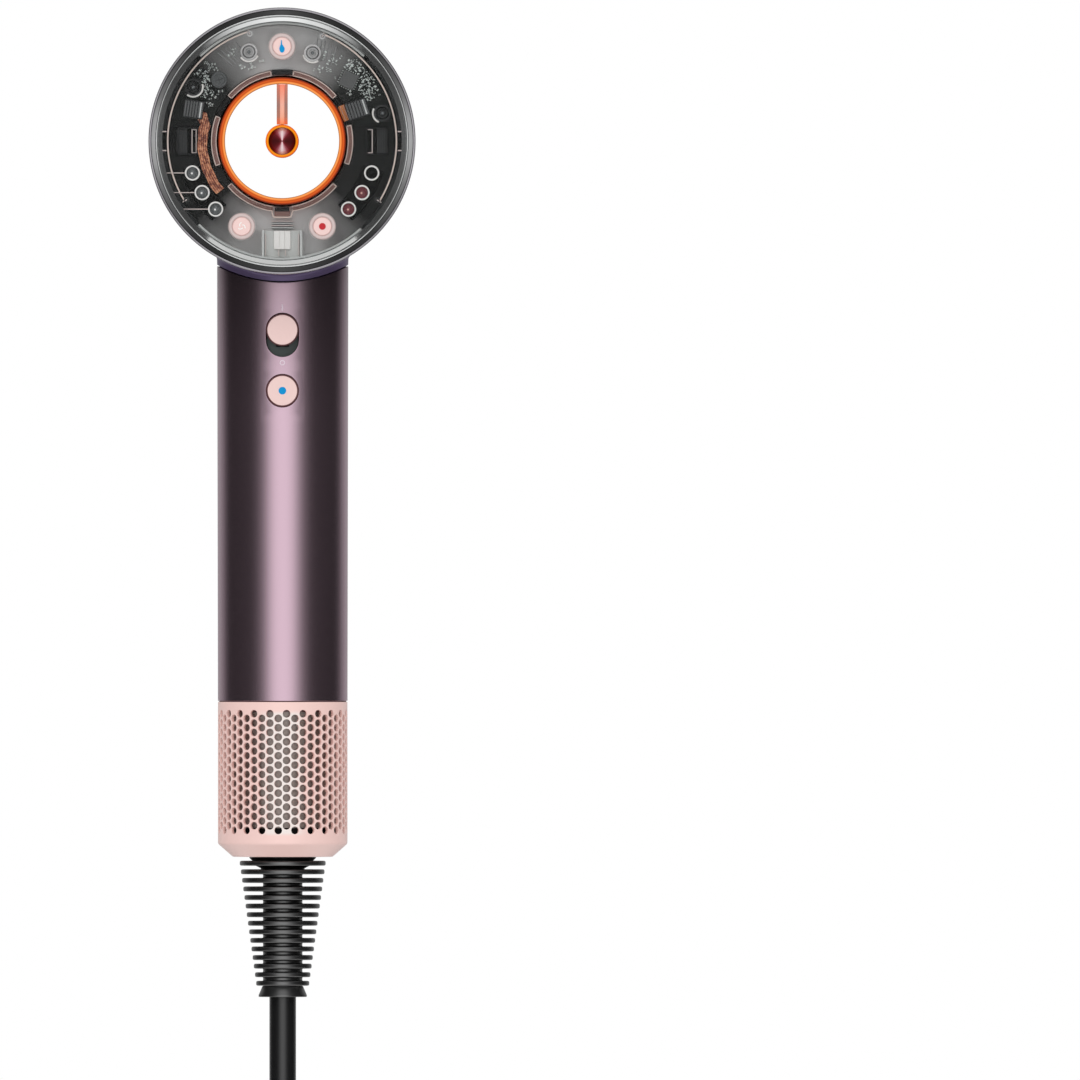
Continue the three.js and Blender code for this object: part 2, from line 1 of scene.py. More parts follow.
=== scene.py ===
"""Looks for a hair dryer with an open bore, a clear rear cover and its motor in the handle.

Sizes in this script are millimetres, and MM turns them into metres. The head's axis lies along Y,
the clear cover faces -Y, and the handle hangs down from the head.
"""

import math
import random

import bmesh
import bpy
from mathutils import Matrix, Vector


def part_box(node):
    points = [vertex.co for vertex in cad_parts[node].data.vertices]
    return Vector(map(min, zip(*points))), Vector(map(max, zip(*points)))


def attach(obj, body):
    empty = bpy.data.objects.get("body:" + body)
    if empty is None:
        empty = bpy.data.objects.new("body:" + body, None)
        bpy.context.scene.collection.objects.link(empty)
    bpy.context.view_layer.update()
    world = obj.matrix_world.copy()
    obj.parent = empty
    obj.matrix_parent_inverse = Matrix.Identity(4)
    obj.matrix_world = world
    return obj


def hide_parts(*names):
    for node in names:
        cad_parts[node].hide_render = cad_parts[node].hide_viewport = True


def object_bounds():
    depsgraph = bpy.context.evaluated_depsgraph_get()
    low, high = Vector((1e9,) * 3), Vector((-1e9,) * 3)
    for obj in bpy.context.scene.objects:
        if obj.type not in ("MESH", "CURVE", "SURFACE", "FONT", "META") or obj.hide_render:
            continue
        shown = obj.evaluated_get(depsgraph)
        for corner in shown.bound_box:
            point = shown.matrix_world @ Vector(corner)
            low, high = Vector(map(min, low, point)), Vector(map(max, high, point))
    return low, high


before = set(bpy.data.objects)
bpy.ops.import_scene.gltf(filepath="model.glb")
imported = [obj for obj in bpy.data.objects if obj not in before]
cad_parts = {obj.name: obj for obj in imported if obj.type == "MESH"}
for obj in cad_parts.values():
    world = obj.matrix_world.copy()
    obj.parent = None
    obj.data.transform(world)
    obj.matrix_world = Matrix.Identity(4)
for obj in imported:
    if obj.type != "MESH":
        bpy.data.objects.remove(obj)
cad_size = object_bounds()

MM = 0.001


def extent(node):
    """Lowest and highest corner of a solid, in millimetres."""
    low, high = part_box(node)
    return low / MM, high / MM


# ---------------------------------------------------------------- driving sizes
cover_low, cover_high = extent("rear_cover")
shell_high = extent("head_shell")[1]
tube_low = extent("handle_tube")[0]
cage_low, cage_high = extent("filter_cage")
relief_low = extent("strain_relief")[0]

VIEW_WIDTH = 312.95  # width of the view where the object hangs
VIEW_X = 74.55
VIEW_Z = -5.31
LENS = 1600
SENSOR = 36

HEAD_Z = (cover_low.z + cover_high.z) / 2
HEAD = (0, 0, HEAD_Z)
HEAD_R = (cover_high.x - cover_low.x) / 2
REAR_Y = cover_low.y
FRONT_Y = shell_high.y
SHELL_REAR_Y = cover_high.y + 0.2
HEAD_FRONT_R = HEAD_R - 0.6
CHAMFER_Y = FRONT_Y - 12.2
FRONT_R = 28.95
LIP_R = 27.2
WALL = 1.8
BORE_R = 16.5

TUBE_FOOT = tube_low.z
TUBE_FOOT_R = 18.78
TUBE_TOP_R = 19.04
TUBE_TOP_Z = HEAD_Z - HEAD_R / 2
TUBE_T = 1.3
SEAM_R = 40.6
SEAM_GAP = 0.3

CAGE_R = (cage_high.x - cage_low.x) / 2
CAGE_TOP = cage_high.z
CAGE_FOOT = cage_low.z
CAGE_CHAMFER_Z = CAGE_FOOT + 3.8
CAGE_FOOT_R = 14.3
CAGE_MOUTH_R = 12.8
CAGE_T = 0.95

SLIDER_Z = 55.5
CAP_R = 4.32
SKIRT_R = 4.7
SLIDER_TRAVEL = 2.9
COOL_Z = 37.9
CONTROL_HOLE_R = 4.82

BUTTON_RING = 27.3
BUTTON_R = 3.9
BUTTONS = (("temperature", 90), ("airflow", 244.7), ("mode", 295.3))  # angles about the bore
LIGHT_RING = 27.5
LIGHT_R = 2.2
LIGHT_ANGLES = (19.6, 32.8, 45.7)
BOARD_Y = -31.5
PANEL_Y = -29.7  # face of the dark moulding behind the board
GUIDE_Y = -33.6  # face of the light guides round the bore
GUIDE_FILL_Y = -33.1
GUIDE_BACK_Y = -32
GUIDE_R = (18.95, 20.55)
SCREWS = ((-25.7, 15.6), (-9.6, 25.8), (8.8, 25.5), (29.0, 8.1))
CONNECTOR_Z = 9.2
LEFT_CONNECTOR_X = -25.6
RIGHT_CONNECTOR_X = 21.7
CAN = (-18.2, 17.7)
CHIP = (19.2, 17.7)
POD_R = 4.8

CORD_D = 7.7
STRAND = 7.9
FOLD_R = 3 * CORD_D
HANK_TOP = -172
HANK_WAIST = 14
HANK_FLARE = 46
HANK_FOLD_Z = HANK_WAIST + HANK_FLARE
HANK_EDGE = FOLD_R + STRAND + CORD_D / 2 + 0.15
HANK_Z = HANK_TOP - HANK_EDGE - HANK_FOLD_Z
HANK_LAYERS = 3
PLUG_X = -20
PLUG_Y = HANK_LAYERS * STRAND
PLUG_TOP = HANK_Z - HANK_FOLD_Z - 45

CENTRE = (0, 0, 0)
TAU = 2 * math.pi


# ---------------------------------------------------------------- camera, light, floor
def camera():
    """Level view along +Y, from far off, so that the outlines stay as in an elevation."""
    data = bpy.data.cameras.new("camera")
    data.sensor_width = SENSOR
    data.lens = LENS
    data.clip_end = 100
    distance = VIEW_WIDTH * LENS / SENSOR
    view = bpy.data.objects.new("camera", data)
    view.location = (VIEW_X * MM, -distance * MM, VIEW_Z * MM)
    view.rotation_euler = (math.pi / 2, 0, 0)
    bpy.context.scene.collection.objects.link(view)
    bpy.context.scene.camera = view


class Tree:
    """A node tree, with short ways to add nodes to it."""

    def __init__(self, owner):
        owner.use_nodes = True
        self.nodes = owner.node_tree.nodes
        self.links = owner.node_tree.links

    def feed(self, socket, value):
        """Sets a number or a colour on a socket, or links a node's output to it."""
        if isinstance(value, bpy.types.NodeSocket):
            self.links.new(value, socket)
        elif socket.type == "RGBA":
            socket.default_value = (*value, 1)
        else:
            socket.default_value = value

    def add(self, kind, inputs=(), **settings):
        """A node with its settings and its inputs, which go by name or number."""
        node = self.nodes.new("ShaderNode" + kind)
        for name, value in settings.items():
            setattr(node, name, value)
        for key, value in dict(inputs).items():
            self.feed(node.inputs[key], value)
        return node

    def calc(self, operation, *values):
        return self.add("Math", enumerate(values), operation=operation).outputs[0]

    def mix(self, factor, a, b, blend="MIX"):
        return self.add("Mix", {0: factor, 6: a, 7: b}, data_type="RGBA", blend_type=blend).outputs[2]

    def ramp(self, factor, stops):
        """A linear ramp of greys or colours, from (place, value) pairs."""
        node = self.add("ValToRGB", {0: factor})
        elements = node.color_ramp.elements
        for i, (place, value) in enumerate(stops):
            element = elements[i] if i < 2 else elements.new(place)
            element.position = place
            element.color = (*value, 1) if isinstance(value, tuple) else (value, value, value, 1)
        return node.outputs[0]


def studio():
    """White surroundings. Glossy rays see a front strip, dark flanks and a light above and below."""
    world = bpy.data.worlds.new("studio")
    bpy.context.scene.world = world
    tree = Tree(world)
    calc = tree.calc
    x, y, z = tree.add("SeparateXYZ", {0: tree.add("TexCoord").outputs["Generated"]}).outputs
    back = calc("MULTIPLY", y, -1)
    turn = calc("DIVIDE", calc("ABSOLUTE", calc("ARCTAN2", x, back)), math.pi)
    rise = calc("DIVIDE", calc("ABSOLUTE", calc("ARCSINE", z)), math.pi / 2)

    around = tree.ramp(turn, [
        (0.0, 0.82), (0.05, 0.8), (0.1, 0.66), (0.14, 0.42), (0.19, 0.17), (0.26, 0.05),
        (0.33, 0.022), (0.6, 0.015), (0.66, 0.06), (0.74, 0.21), (0.82, 0.28), (1.0, 0.32),
    ])
    level = tree.ramp(rise, [(0.0, 1.0), (0.22, 1.0), (0.36, 0.8), (0.55, 0.35), (1.0, 0.2)])
    high = tree.ramp(rise, [(0.0, 0.0), (0.5, 0.0), (0.68, 0.9), (1.0, 1.0)])
    strip_gain, front_gain, above_gain, least = 1.5, 0.3, 0.1, 0.68
    gloss = calc("ADD", calc("MULTIPLY", calc("MULTIPLY", around, strip_gain), level), high)
    front = calc("MULTIPLY", calc("MAXIMUM", back, 0), front_gain)
    soft = calc("ADD", calc("ADD", front, calc("MULTIPLY", z, above_gain)), least)

    path = tree.add("LightPath").outputs
    seen = tree.add("Mix", {0: path["Is Glossy Ray"], 2: soft, 3: gloss}).outputs[0]
    seen = tree.add("Mix", {0: path["Is Camera Ray"], 2: seen, 3: 1.0}).outputs[0]
    tree.links.new(seen, tree.nodes["Background"].inputs["Color"])


def lamps():
    """A large soft key from the upper left and a weaker fill from the right."""
    for name, place, size, power in (
        ("key", (-700, -1500, 1100), 900, 6.0),
        ("fill", (1300, -1300, 300), 900, 2.2),
    ):
        data = bpy.data.lights.new(name, "AREA")
        data.size = size * MM
        data.energy = power
        lamp = bpy.data.objects.new(name, data)
        lamp.location = Vector(place) * MM
        lamp.rotation_euler = (-Vector(place)).to_track_quat("-Z", "Y").to_euler()
        lamp.visible_glossy = False
        bpy.context.scene.collection.objects.link(lamp)


# ---------------------------------------------------------------- materials
def linear(r, g, b):
    """An sRGB colour of 0 to 255 as linear values."""
    return tuple(v / 255 / 12.92 if v <= 10.3 else ((v / 255 + 0.055) / 1.055) ** 2.4 for v in (r, g, b))


def scaled(colour, factor):
    return tuple(min(1.0, c * factor) for c in colour)


ROUGH_GRAIN = 0.37  # scale of the noise in the roughness, against that in the colour
RELIEF_GRAIN = 2.3
RELIEF_DEPTH = 0.0001
BANDS = 3.2  # bands of a wave texture in one unit at a scale of one


class Finish(Tree):
    """A Principled material with noise in its colour, its roughness and its relief."""

    def __init__(self, name, colour, rough=0.5, metal=0.0, vary=0.05, grain=700, bump=0.1, wear=0.12,
                 **sockets):
        self.material = bpy.data.materials.new(name)
        super().__init__(self.material)
        self.shader = self.nodes["Principled BSDF"].inputs
        self.shader["Metallic"].default_value = metal
        for socket, value in sockets.items():
            self.shader[socket.replace("_", " ")].default_value = value
        self.place = self.add("TexCoord").outputs["Object"]
        self.colour = self.mix(self.noise(grain), scaled(colour, 1 - vary), scaled(colour, 1 + vary))
        self.base(self.colour)
        ends = {"To Min": rough * (1 - wear), "To Max": rough * (1 + wear)}
        spread = self.add("MapRange", {"Value": self.noise(grain * ROUGH_GRAIN), **ends})
        self.links.new(spread.outputs[0], self.shader["Roughness"])
        self.relief(self.noise(grain * RELIEF_GRAIN), bump)

    def noise(self, scale, detail=3, place=None):
        place = self.place if place is None else place
        return self.add("TexNoise", {"Scale": scale, "Detail": detail, "Vector": place}).outputs["Fac"]

    def relief(self, height, strength):
        node = self.add("Bump", {"Strength": strength, "Distance": RELIEF_DEPTH, "Height": height})
        self.links.new(node.outputs[0], self.shader["Normal"])

    def base(self, colour):
        self.links.new(colour, self.shader["Base Color"])

    def lit(self, colour, strength):
        self.links.new(colour, self.shader["Emission Color"])
        self.shader["Emission Strength"].default_value = strength

    def axes(self):
        return self.add("SeparateXYZ", {0: self.place}).outputs

    def head_place(self):
        """x, and z from the head's axis, in metres."""
        x, _, z = self.axes()
        return x, self.calc("SUBTRACT", z, HEAD_Z * MM)

    def head_radius(self):
        x, z = self.head_place()
        return self.calc("SQRT", self.calc("ADD", self.calc("MULTIPLY", x, x), self.calc("MULTIPLY", z, z)))

    def head_turn(self, from_sides=False):
        """Angle about the head's axis: 0 above and below it and 1 at its sides, or the other way round."""
        x, z = (self.calc("ABSOLUTE", v) for v in self.head_place())
        angle = self.calc("ARCTAN2", z, x) if from_sides else self.calc("ARCTAN2", x, z)
        return self.calc("DIVIDE", angle, math.pi / 2)


def painted_cover_reflection(name, colour, rough, share, **more):
    """A dark finish with a painted reflection: grey in the sectors above and below the bore, standing in for
    the clear cover's sheen.
    """
    finish = Finish(name, colour, rough, **more)
    # Painted reflection: grey by angle about the bore, most above and below it, added to the colour of each
    # part behind the cover.
    frost = [
        (0.0, 0.88), (0.11, 0.77), (0.23, 0.62), (0.34, 0.32), (0.44, 0.2), (0.5, 0.09), (0.53, 0.01),
        (1.0, 0.0),
    ]
    grey = finish.ramp(finish.head_turn(), [(place, value * share) for place, value in frost])
    finish.base(finish.mix(1, finish.colour, grey, "ADD"))
    return finish


def edge_painted_light(name, tint, rough, stops):
    """Mirror-like edge of the clear cover, with painted light and shade: stops give its brightness from its
    sides to its top and foot.
    """
    finish = Finish(name, tint, rough, metal=0.92, vary=0.04, grain=300, bump=0.02)
    shade = finish.ramp(finish.head_turn(from_sides=True), stops)
    finish.base(finish.mix(1, finish.colour, shade, "MULTIPLY"))
    return finish


def glowing(name, radius_stops, strength, scale=24):
    """Rings of lit colour about the head's axis: radius_stops lists (radius, sRGB colour)."""
    finish = Finish(name, linear(96, 34, 8), 0.2, bump=0.03, Specular_IOR_Level=0.15)
    part = finish.calc("DIVIDE", finish.head_radius(), scale * MM)
    shades = finish.ramp(part, [(radius / scale, linear(*colour)) for radius, colour in radius_stops])
    wave = finish.mix(finish.noise(260), (0.86, 0.86, 0.86), (1.0, 1.0, 1.0))
    finish.lit(finish.mix(1, shades, wave, "MULTIPLY"), strength)
    return finish


def brushed(name, colour, rough, stretch, **more):
    """Metal with fine lines: stretch scales the noise along each axis."""
    finish = Finish(name, colour, rough, metal=1.0, **more)
    mapping = finish.add("Mapping", {"Vector": finish.place, "Scale": stretch})
    finish.relief(finish.noise(900, 2, mapping.outputs[0]), 0.02)
    return finish


def woven(name, colour, rough, pitch):
    """A wire cloth: two crossed sets of waves in the height and the colour."""
    finish = Finish(name, colour, rough, metal=1.0)
    waves = {"Scale": 1 / (pitch * MM) / BANDS, "Vector": finish.place}
    heights = [finish.add("TexWave", waves, bands_direction=way).outputs["Fac"] for way in ("X", "Z")]
    cloth = finish.calc("MAXIMUM", *heights)
    finish.base(finish.mix(cloth, scaled(colour, 0.35), scaled(colour, 1.15)))
    finish.relief(cloth, 0.5)
    return finish


def tube_finish():
    """Brushed mauve metal with painted shade: a little darker towards the head, which keeps light off the top
    of the tube.
    """
    finish = brushed("mauve_metal", linear(202, 174, 188), 0.25, (1, 1, 0.03), vary=0.008, wear=0.02,
                     bump=0.02)
    part = finish.calc("DIVIDE", finish.axes()[2], 100 * MM)
    shade = finish.ramp(part, [(0.0, 1.0), (0.33, 1.0), (0.5, 0.84), (0.68, 0.62), (0.72, 0.5), (1.0, 0.5)])
    finish.base(finish.mix(1, finish.colour, shade, "MULTIPLY"))
    return finish


def cage_finish():
    """Pink plastic with a painted highlight: almost white on the webs between the holes that face the cover's
    side.
    """
    finish = Finish("pink_cage", linear(246, 209, 202), 0.36, vary=0.015, grain=1800, bump=0.03, wear=0.05,
                    Coat_Weight=0.5, Coat_Roughness=0.35)
    x, y, z = finish.axes()
    # Painted highlight: near white where the webs face -Y, only in the perforated band.
    turn = finish.calc("ARCTAN2", finish.calc("ABSOLUTE", x), finish.calc("MULTIPLY", y, -1))
    near = finish.ramp(finish.calc("DIVIDE", turn, math.pi), [
        (0.0, 1.0), (0.07, 0.9), (0.1, 0.3), (0.125, 0.0), (1.0, 0.0)])
    foot, reach, painted_highlight = -100, 50, (0.87, 0.79, 0.75)
    height = finish.calc("DIVIDE", finish.calc("SUBTRACT", z, foot * MM), reach * MM)
    rows = finish.ramp(height, [(0.0, 0.0), (0.18, 0.0), (0.2, 1.0), (0.885, 1.0), (0.905, 0.0), (1.0, 0.0)])
    finish.base(finish.mix(finish.calc("MULTIPLY", near, rows), finish.colour, painted_highlight))
    return finish


def cone_finish():
    """Spun metal with a painted highlight: a pale waist from top to bottom, dark red towards the sides."""
    finish = Finish("spun_cone", linear(110, 12, 22), 0.3, metal=0.5, vary=0.15, grain=900, bump=0.05)
    shades = [(0.0, (250, 236, 238)), (0.12, (226, 186, 192)), (0.3, (170, 84, 96)), (0.46, (120, 22, 34)),
              (0.7, (96, 8, 16)), (1.0, (80, 6, 12))]
    finish.base(finish.ramp(finish.head_turn(), [(place, linear(*shade)) for place, shade in shades]))
    return finish


def strut_painted_glow(name, *shades):
    """Rosy strut with painted light: orange towards its ends, next to the two lit rings, and a faint glow
    though it is no lamp. sRGB shades from foot to top.
    """
    foot, length = 4.8, 11.6
    finish = Finish(name, linear(*shades[2]), 0.4, vary=0.04, grain=600, bump=0.04, Specular_IOR_Level=0.2)
    part = finish.calc("SUBTRACT", finish.head_place()[1], foot * MM)
    stops = [(place, linear(*shade)) for place, shade in zip((0.0, 0.2, 0.5, 1.0), shades)]
    shade = finish.ramp(finish.calc("DIVIDE", part, length * MM), stops)
    finish.base(shade)
    # Painted glow: the strut gives off its own shades as light.
    finish.lit(shade, 0.35)
    return finish


def flex_finish():
    """Tan copper film with mottled traces along its arc."""
    finish = Finish("flex_film", linear(152, 92, 66), 0.34, metal=0.45, vary=0.3, grain=420, bump=0.35)
    pitch = 0.62
    lines = finish.calc("SINE", finish.calc("MULTIPLY", finish.head_radius(), TAU / (pitch * MM)))
    light = finish.calc("MULTIPLY_ADD", lines, 0.1, finish.noise(1300))
    shades = [(0.0, (70, 32, 26)), (0.38, (112, 58, 46)), (0.52, (176, 108, 82)), (0.64, (226, 158, 116)),
              (1.0, (240, 190, 150))]
    finish.base(finish.ramp(light, [(place, linear(*shade)) for place, shade in shades]))
    return finish


# Each row: name, sRGB colour, roughness, and what differs from the usual finish.
PLAIN = {
    "purple": ("purple_paint", (96, 80, 108), 0.36, dict(
        metal=0.4, vary=0.03, grain=2600, bump=0.04, wear=0.04, Coat_Weight=0.2, Coat_Roughness=0.2)),
    "collar": ("purple_collar", (96, 82, 116), 0.38, dict(
        metal=0.4, vary=0.04, grain=2600, bump=0.04, wear=0.04)),
    "pink": ("pink_plastic", (244, 205, 197), 0.42, dict(vary=0.015, grain=1800, bump=0.05, wear=0.05)),
    "cage_wall": ("pink_wall", (246, 206, 198), 0.5, dict(vary=0.03, grain=1800, bump=0.05)),
    "cap_ring": ("cap_ring", (204, 186, 183), 0.3, dict(vary=0.04, grain=1500, bump=0.04)),
    "pink_disc": ("pink_cap", (238, 206, 201), 0.5, dict(vary=0.02, grain=1500, bump=0.05)),
    "red_gap": ("shadow_red", (88, 42, 46), 0.5, dict(vary=0.08, grain=1500, bump=0.05)),
    "rosy": ("rosy_translucent", (148, 112, 104), 0.4, dict(vary=0.12, grain=500)),
    "black": ("black_rubber", (13, 13, 14), 0.3, dict(
        vary=0.1, grain=1500, bump=0.02, wear=0.04, IOR=1.8, Specular_IOR_Level=1.0)),
    "cord": ("cord_sheath", (17, 17, 18), 0.3, dict(vary=0.15, grain=1200, Specular_IOR_Level=0.8)),
    "dark": ("dark_plastic", (40, 42, 43), 0.5, dict(vary=0.12, grain=900, Specular_IOR_Level=0.2)),
    # Near black: painted shade where it fills the sockets' wells and the pockets round the lamps; elsewhere
    # the parts' own black.
    "pit": ("dark_recess", (10, 11, 11), 0.45, dict(vary=0.2, Specular_IOR_Level=0.08)),
    "slate": ("slate_plastic", (56, 58, 59), 0.45, dict(vary=0.2, grain=300, Specular_IOR_Level=0.3)),
    "floor_green": ("recess_floor", (66, 76, 74), 0.5, dict(vary=0.1, grain=800)),
    "grey": ("grey_plastic", (92, 94, 95), 0.45, dict(vary=0.1, grain=900)),
    "pale": ("pale_plastic", (212, 216, 214), 0.4, {}),
    "cream": ("cream_guide", (244, 226, 216), 0.35, dict(grain=500, bump=0.04)),
    "white": ("white_guide", (252, 251, 248), 0.3, dict(vary=0.03, grain=500, bump=0.04)),
    "frost": ("frosted_ring", (226, 212, 208), 0.3, dict(vary=0.06, grain=800, bump=0.05)),
    "solder": ("solder", (226, 236, 232), 0.3, dict(metal=0.1, vary=0.12, grain=1500)),
    "trace": ("pale_trace", (158, 160, 160), 0.4, dict(vary=0.1, grain=1200)),
    "zinc": ("zinc_steel", (150, 152, 155), 0.35, dict(metal=1.0, vary=0.06, grain=900)),
    "mica": ("mica", (190, 176, 148), 0.7, dict(vary=0.12, grain=220, bump=0.2)),
    "copper": ("copper_winding", (190, 110, 70), 0.35, dict(metal=1.0, vary=0.1, grain=900, bump=0.3)),
    "amber": ("amber_film", (226, 140, 72), 0.35, dict(metal=0.2, vary=0.14, grain=900)),
    "blue": ("blue_mark", (14, 146, 208), 0.4, dict(grain=900, Specular_IOR_Level=0.1)),
    "red": ("red_mark", (190, 8, 28), 0.4, dict(vary=0.08, grain=900)),
    "blush": ("blush_lamp", (124, 58, 66), 0.3, dict(vary=0.2)),
    "lamp": ("grey_lamp", (112, 116, 118), 0.22, dict(metal=0.3, vary=0.12)),
    "can": ("can_grey", (78, 81, 82), 0.35, dict(vary=0.1, grain=500)),
    "chip": ("chip_grey", (86, 88, 88), 0.3, dict(vary=0.2, grain=300)),
    "salmon": ("salmon_guide", (240, 196, 180), 0.35, dict(vary=0.06, grain=600)),
    "hook": ("hook_strap", (34, 34, 36), 0.9, dict(vary=0.25, grain=2400, bump=0.6, Sheen_Weight=0.4)),
    "mark": ("pale_mark", (222, 204, 216), 0.5, dict(vary=0.04, grain=900)),
}

# Each row: name, sRGB colour, roughness, share of painted reflection, and what differs from the usual finish.
PAINTED_REFLECTION_ROWS = {
    "boss": ("boss_black", (22, 24, 25), 0.35, 0.72, dict(vary=0.15, grain=900, Specular_IOR_Level=0.3)),
    "rib": ("rib_grey", (60, 62, 62), 0.4, 0.9, dict(vary=0.1, grain=900, Specular_IOR_Level=0.3)),
    "panel": ("panel_painted_reflection", (23, 25, 25), 0.42, 1.0, dict(vary=0.14, grain=600, Specular_IOR_Level=0.15)),
    "board": ("board_laminate", (19, 24, 22), 0.5, 0.78, dict(vary=0.2, grain=500, Specular_IOR_Level=0.2)),
}

# Each row: name, linear tint, roughness, and the ramp of painted light and shade from the sides to the top
# and foot.
PAINTED_LIGHT_EDGES = {
    "glass_edge": ("clear_edge", (0.97, 1.0, 0.99), 0.08, [
        (0.0, 1.0), (0.2, 0.8), (0.33, 0.62), (0.42, 0.62), (0.55, 0.75), (1.0, 0.7)]),
    "rim": ("clear_rim", (0.96, 0.92, 1.0), 0.14, [
        (0.0, 0.44), (0.15, 0.4), (0.33, 0.26), (0.55, 0.3), (0.75, 0.33), (0.9, 0.33), (1.0, 0.34)]),
    "seal": ("seal_painted_light", (0.98, 0.99, 1.0), 0.07, [
        (0.0, 0.46), (0.11, 0.4), (0.22, 0.2), (0.33, 0.11), (0.5, 0.035), (0.7, 0.02), (0.9, 0.04),
        (1.0, 0.06)]),
}


def make_finishes():
    """Every material, by its short name."""
    made = {key: Finish(name, linear(*shade), rough, **more)
            for key, (name, shade, rough, more) in PLAIN.items()}
    made |= {key: painted_cover_reflection(name, linear(*shade), rough, share, **more)
             for key, (name, shade, rough, share, more) in PAINTED_REFLECTION_ROWS.items()}
    made |= {key: edge_painted_light(*row) for key, row in PAINTED_LIGHT_EDGES.items()}
    made |= {
        "glass": Finish("clear_cover", (0.02, 0.022, 0.021), 0.03, vary=0.1, grain=60, bump=0.01, Alpha=0.09,
                        Specular_IOR_Level=0.6),
        "steel": brushed("steel", linear(170, 172, 174), 0.3, (1, 0.1, 1), vary=0.04),
        "mesh": woven("filter_cloth", linear(178, 172, 167), 0.4, 0.35),
        "paper": Finish("pale_floor", (0.86, 0.86, 0.85), 0.7, vary=0.02, grain=30),
        "mauve": tube_finish(),
        "cage": cage_finish(),
        "cone": cone_finish(),
        "flex": flex_finish(),
        "strut_core": strut_painted_glow("strut_core", (246, 140, 84), (222, 160, 134), (222, 168, 150),
                                (250, 158, 128)),
        "strut_side": strut_painted_glow("strut_side", (230, 100, 50), (160, 106, 88), (144, 110, 102),
                                (208, 132, 112)),
        "glow": glowing("orange_guide", [
            (0.0, (110, 60, 26)), (BORE_R + 0.1, (160, 90, 36)), (BORE_R + 0.28, (255, 172, 92)),
            (BORE_R + 0.6, (255, 158, 78)), (BORE_R + 0.76, (220, 104, 22)), (BORE_R + 0.95, (186, 70, 4)),
            (BORE_R + 1.25, (222, 96, 18)), (BORE_R + 1.5, (176, 62, 10)), (BORE_R + 1.65, (124, 32, 4)),
            (BORE_R + 1.9, (88, 20, 2)),
        ], 0.92),
        "pod_glow": glowing("amber_guide", [
            (0.0, (120, 30, 10)), (3.9, (170, 70, 10)), (4.1, (255, 160, 20)), (4.45, (255, 140, 16)),
            (4.65, (240, 100, 20)), (POD_R, (190, 70, 30)),
        ], 0.9),
    }
    return {key: finish.material for key, finish in made.items()}


# ---------------------------------------------------------------- shapes
def turned(profile, segments=144, axis="Y", centre=(0, 0)):
    """A ring or solid of revolution. profile lists (radius, height) and closes on itself unless both
    ends are on the axis. centre is the axis' place across it."""
    whole = profile[0][0] == 0 and profile[-1][0] == 0
    verts, faces, rings = [], [], []
    for radius, height in profile:
        count = 1 if radius == 0 else segments
        rings.append(range(len(verts), len(verts) + count))
        for i in range(count):
            angle = TAU * i / segments
            across = (centre[0] + radius * math.cos(angle), centre[1] + radius * math.sin(angle))
            verts.append((across[0], height, across[1]) if axis == "Y" else (*across, height))
    last = len(rings) - 1 if whole else len(rings)
    for k in range(last):
        a, b = rings[k], rings[(k + 1) % len(rings)]
        for i in range(segments):
            j = (i + 1) % segments
            corners = [a[i % len(a)], a[j % len(a)], b[j % len(b)], b[i % len(b)]]
            faces.append(tuple(dict.fromkeys(corners)))
    return verts, faces


def soften(points, radius=0.3, steps=4, closed=True):
    """Rounds the corners of an outline. A point's third value is its own radius."""
    rounded = []
    count = len(points)
    for i, point in enumerate(points):
        r = point[2] if len(point) > 2 else radius
        here = Vector(point[:2])
        before = Vector(points[i - 1][:2]) - here
        after = Vector(points[(i + 1) % count][:2]) - here
        if r == 0 or (not closed and i in (0, count - 1)) or before.angle(after) > 3.1:
            rounded.append(tuple(here))
            continue
        reach = min(r / math.tan(before.angle(after) / 2), 0.48 * before.length, 0.48 * after.length)
        start, end = here + before.normalized() * reach, here + after.normalized() * reach
        for k in range(steps + 1):
            t = k / steps
            rounded.append(tuple(start * (1 - t) ** 2 + here * (2 * t * (1 - t)) + end * t * t))
    return rounded


def lathe(profile, segments=144, radius=0.3, steps=4, axis="Y", centre=(0, 0)):
    """A turned piece with a softened profile, which is open only if both its ends are on the axis."""
    whole = profile[0][0] == 0 and profile[-1][0] == 0
    return turned(soften(profile, radius, steps, not whole), segments, axis, centre)


def hoop(inner, outer, low, high, segments=160, radius=0.15, axis="Y", centre=(0, 0)):
    """A ring with a rectangular section."""
    section = [(inner, low), (outer, low), (outer, high), (inner, high)]
    return lathe(section, segments, radius, 4, axis, centre)


SHARP = 38  # degrees from which an edge is shaded as sharp
BEVELLED = 40  # degrees from which an edge is rounded


def filled(bm, verts, faces, origin=CENTRE, scale=1.0):
    """Adds a shape to a mesh in the making, and returns its faces."""
    made = [bm.verts.new((Vector(v) + Vector(origin)) * scale) for v in verts]
    return [bm.faces.new([made[i] for i in face]) for face in faces]


def bevelled(verts, faces, width, steps=2):
    """The solid with its sharp edges rounded."""
    bm = bmesh.new()
    filled(bm, verts, faces)
    bmesh.ops.recalc_face_normals(bm, faces=bm.faces)
    edges = [e for e in bm.edges if e.is_manifold and e.calc_face_angle() > math.radians(BEVELLED)]
    bmesh.ops.bevel(
        bm, geom=edges, offset=width, segments=steps, affect="EDGES", profile=0.5, clamp_overlap=True
    )
    bm.verts.index_update()
    result = [tuple(v.co) for v in bm.verts], [tuple(v.index for v in f.verts) for f in bm.faces]
    bm.free()
    return result


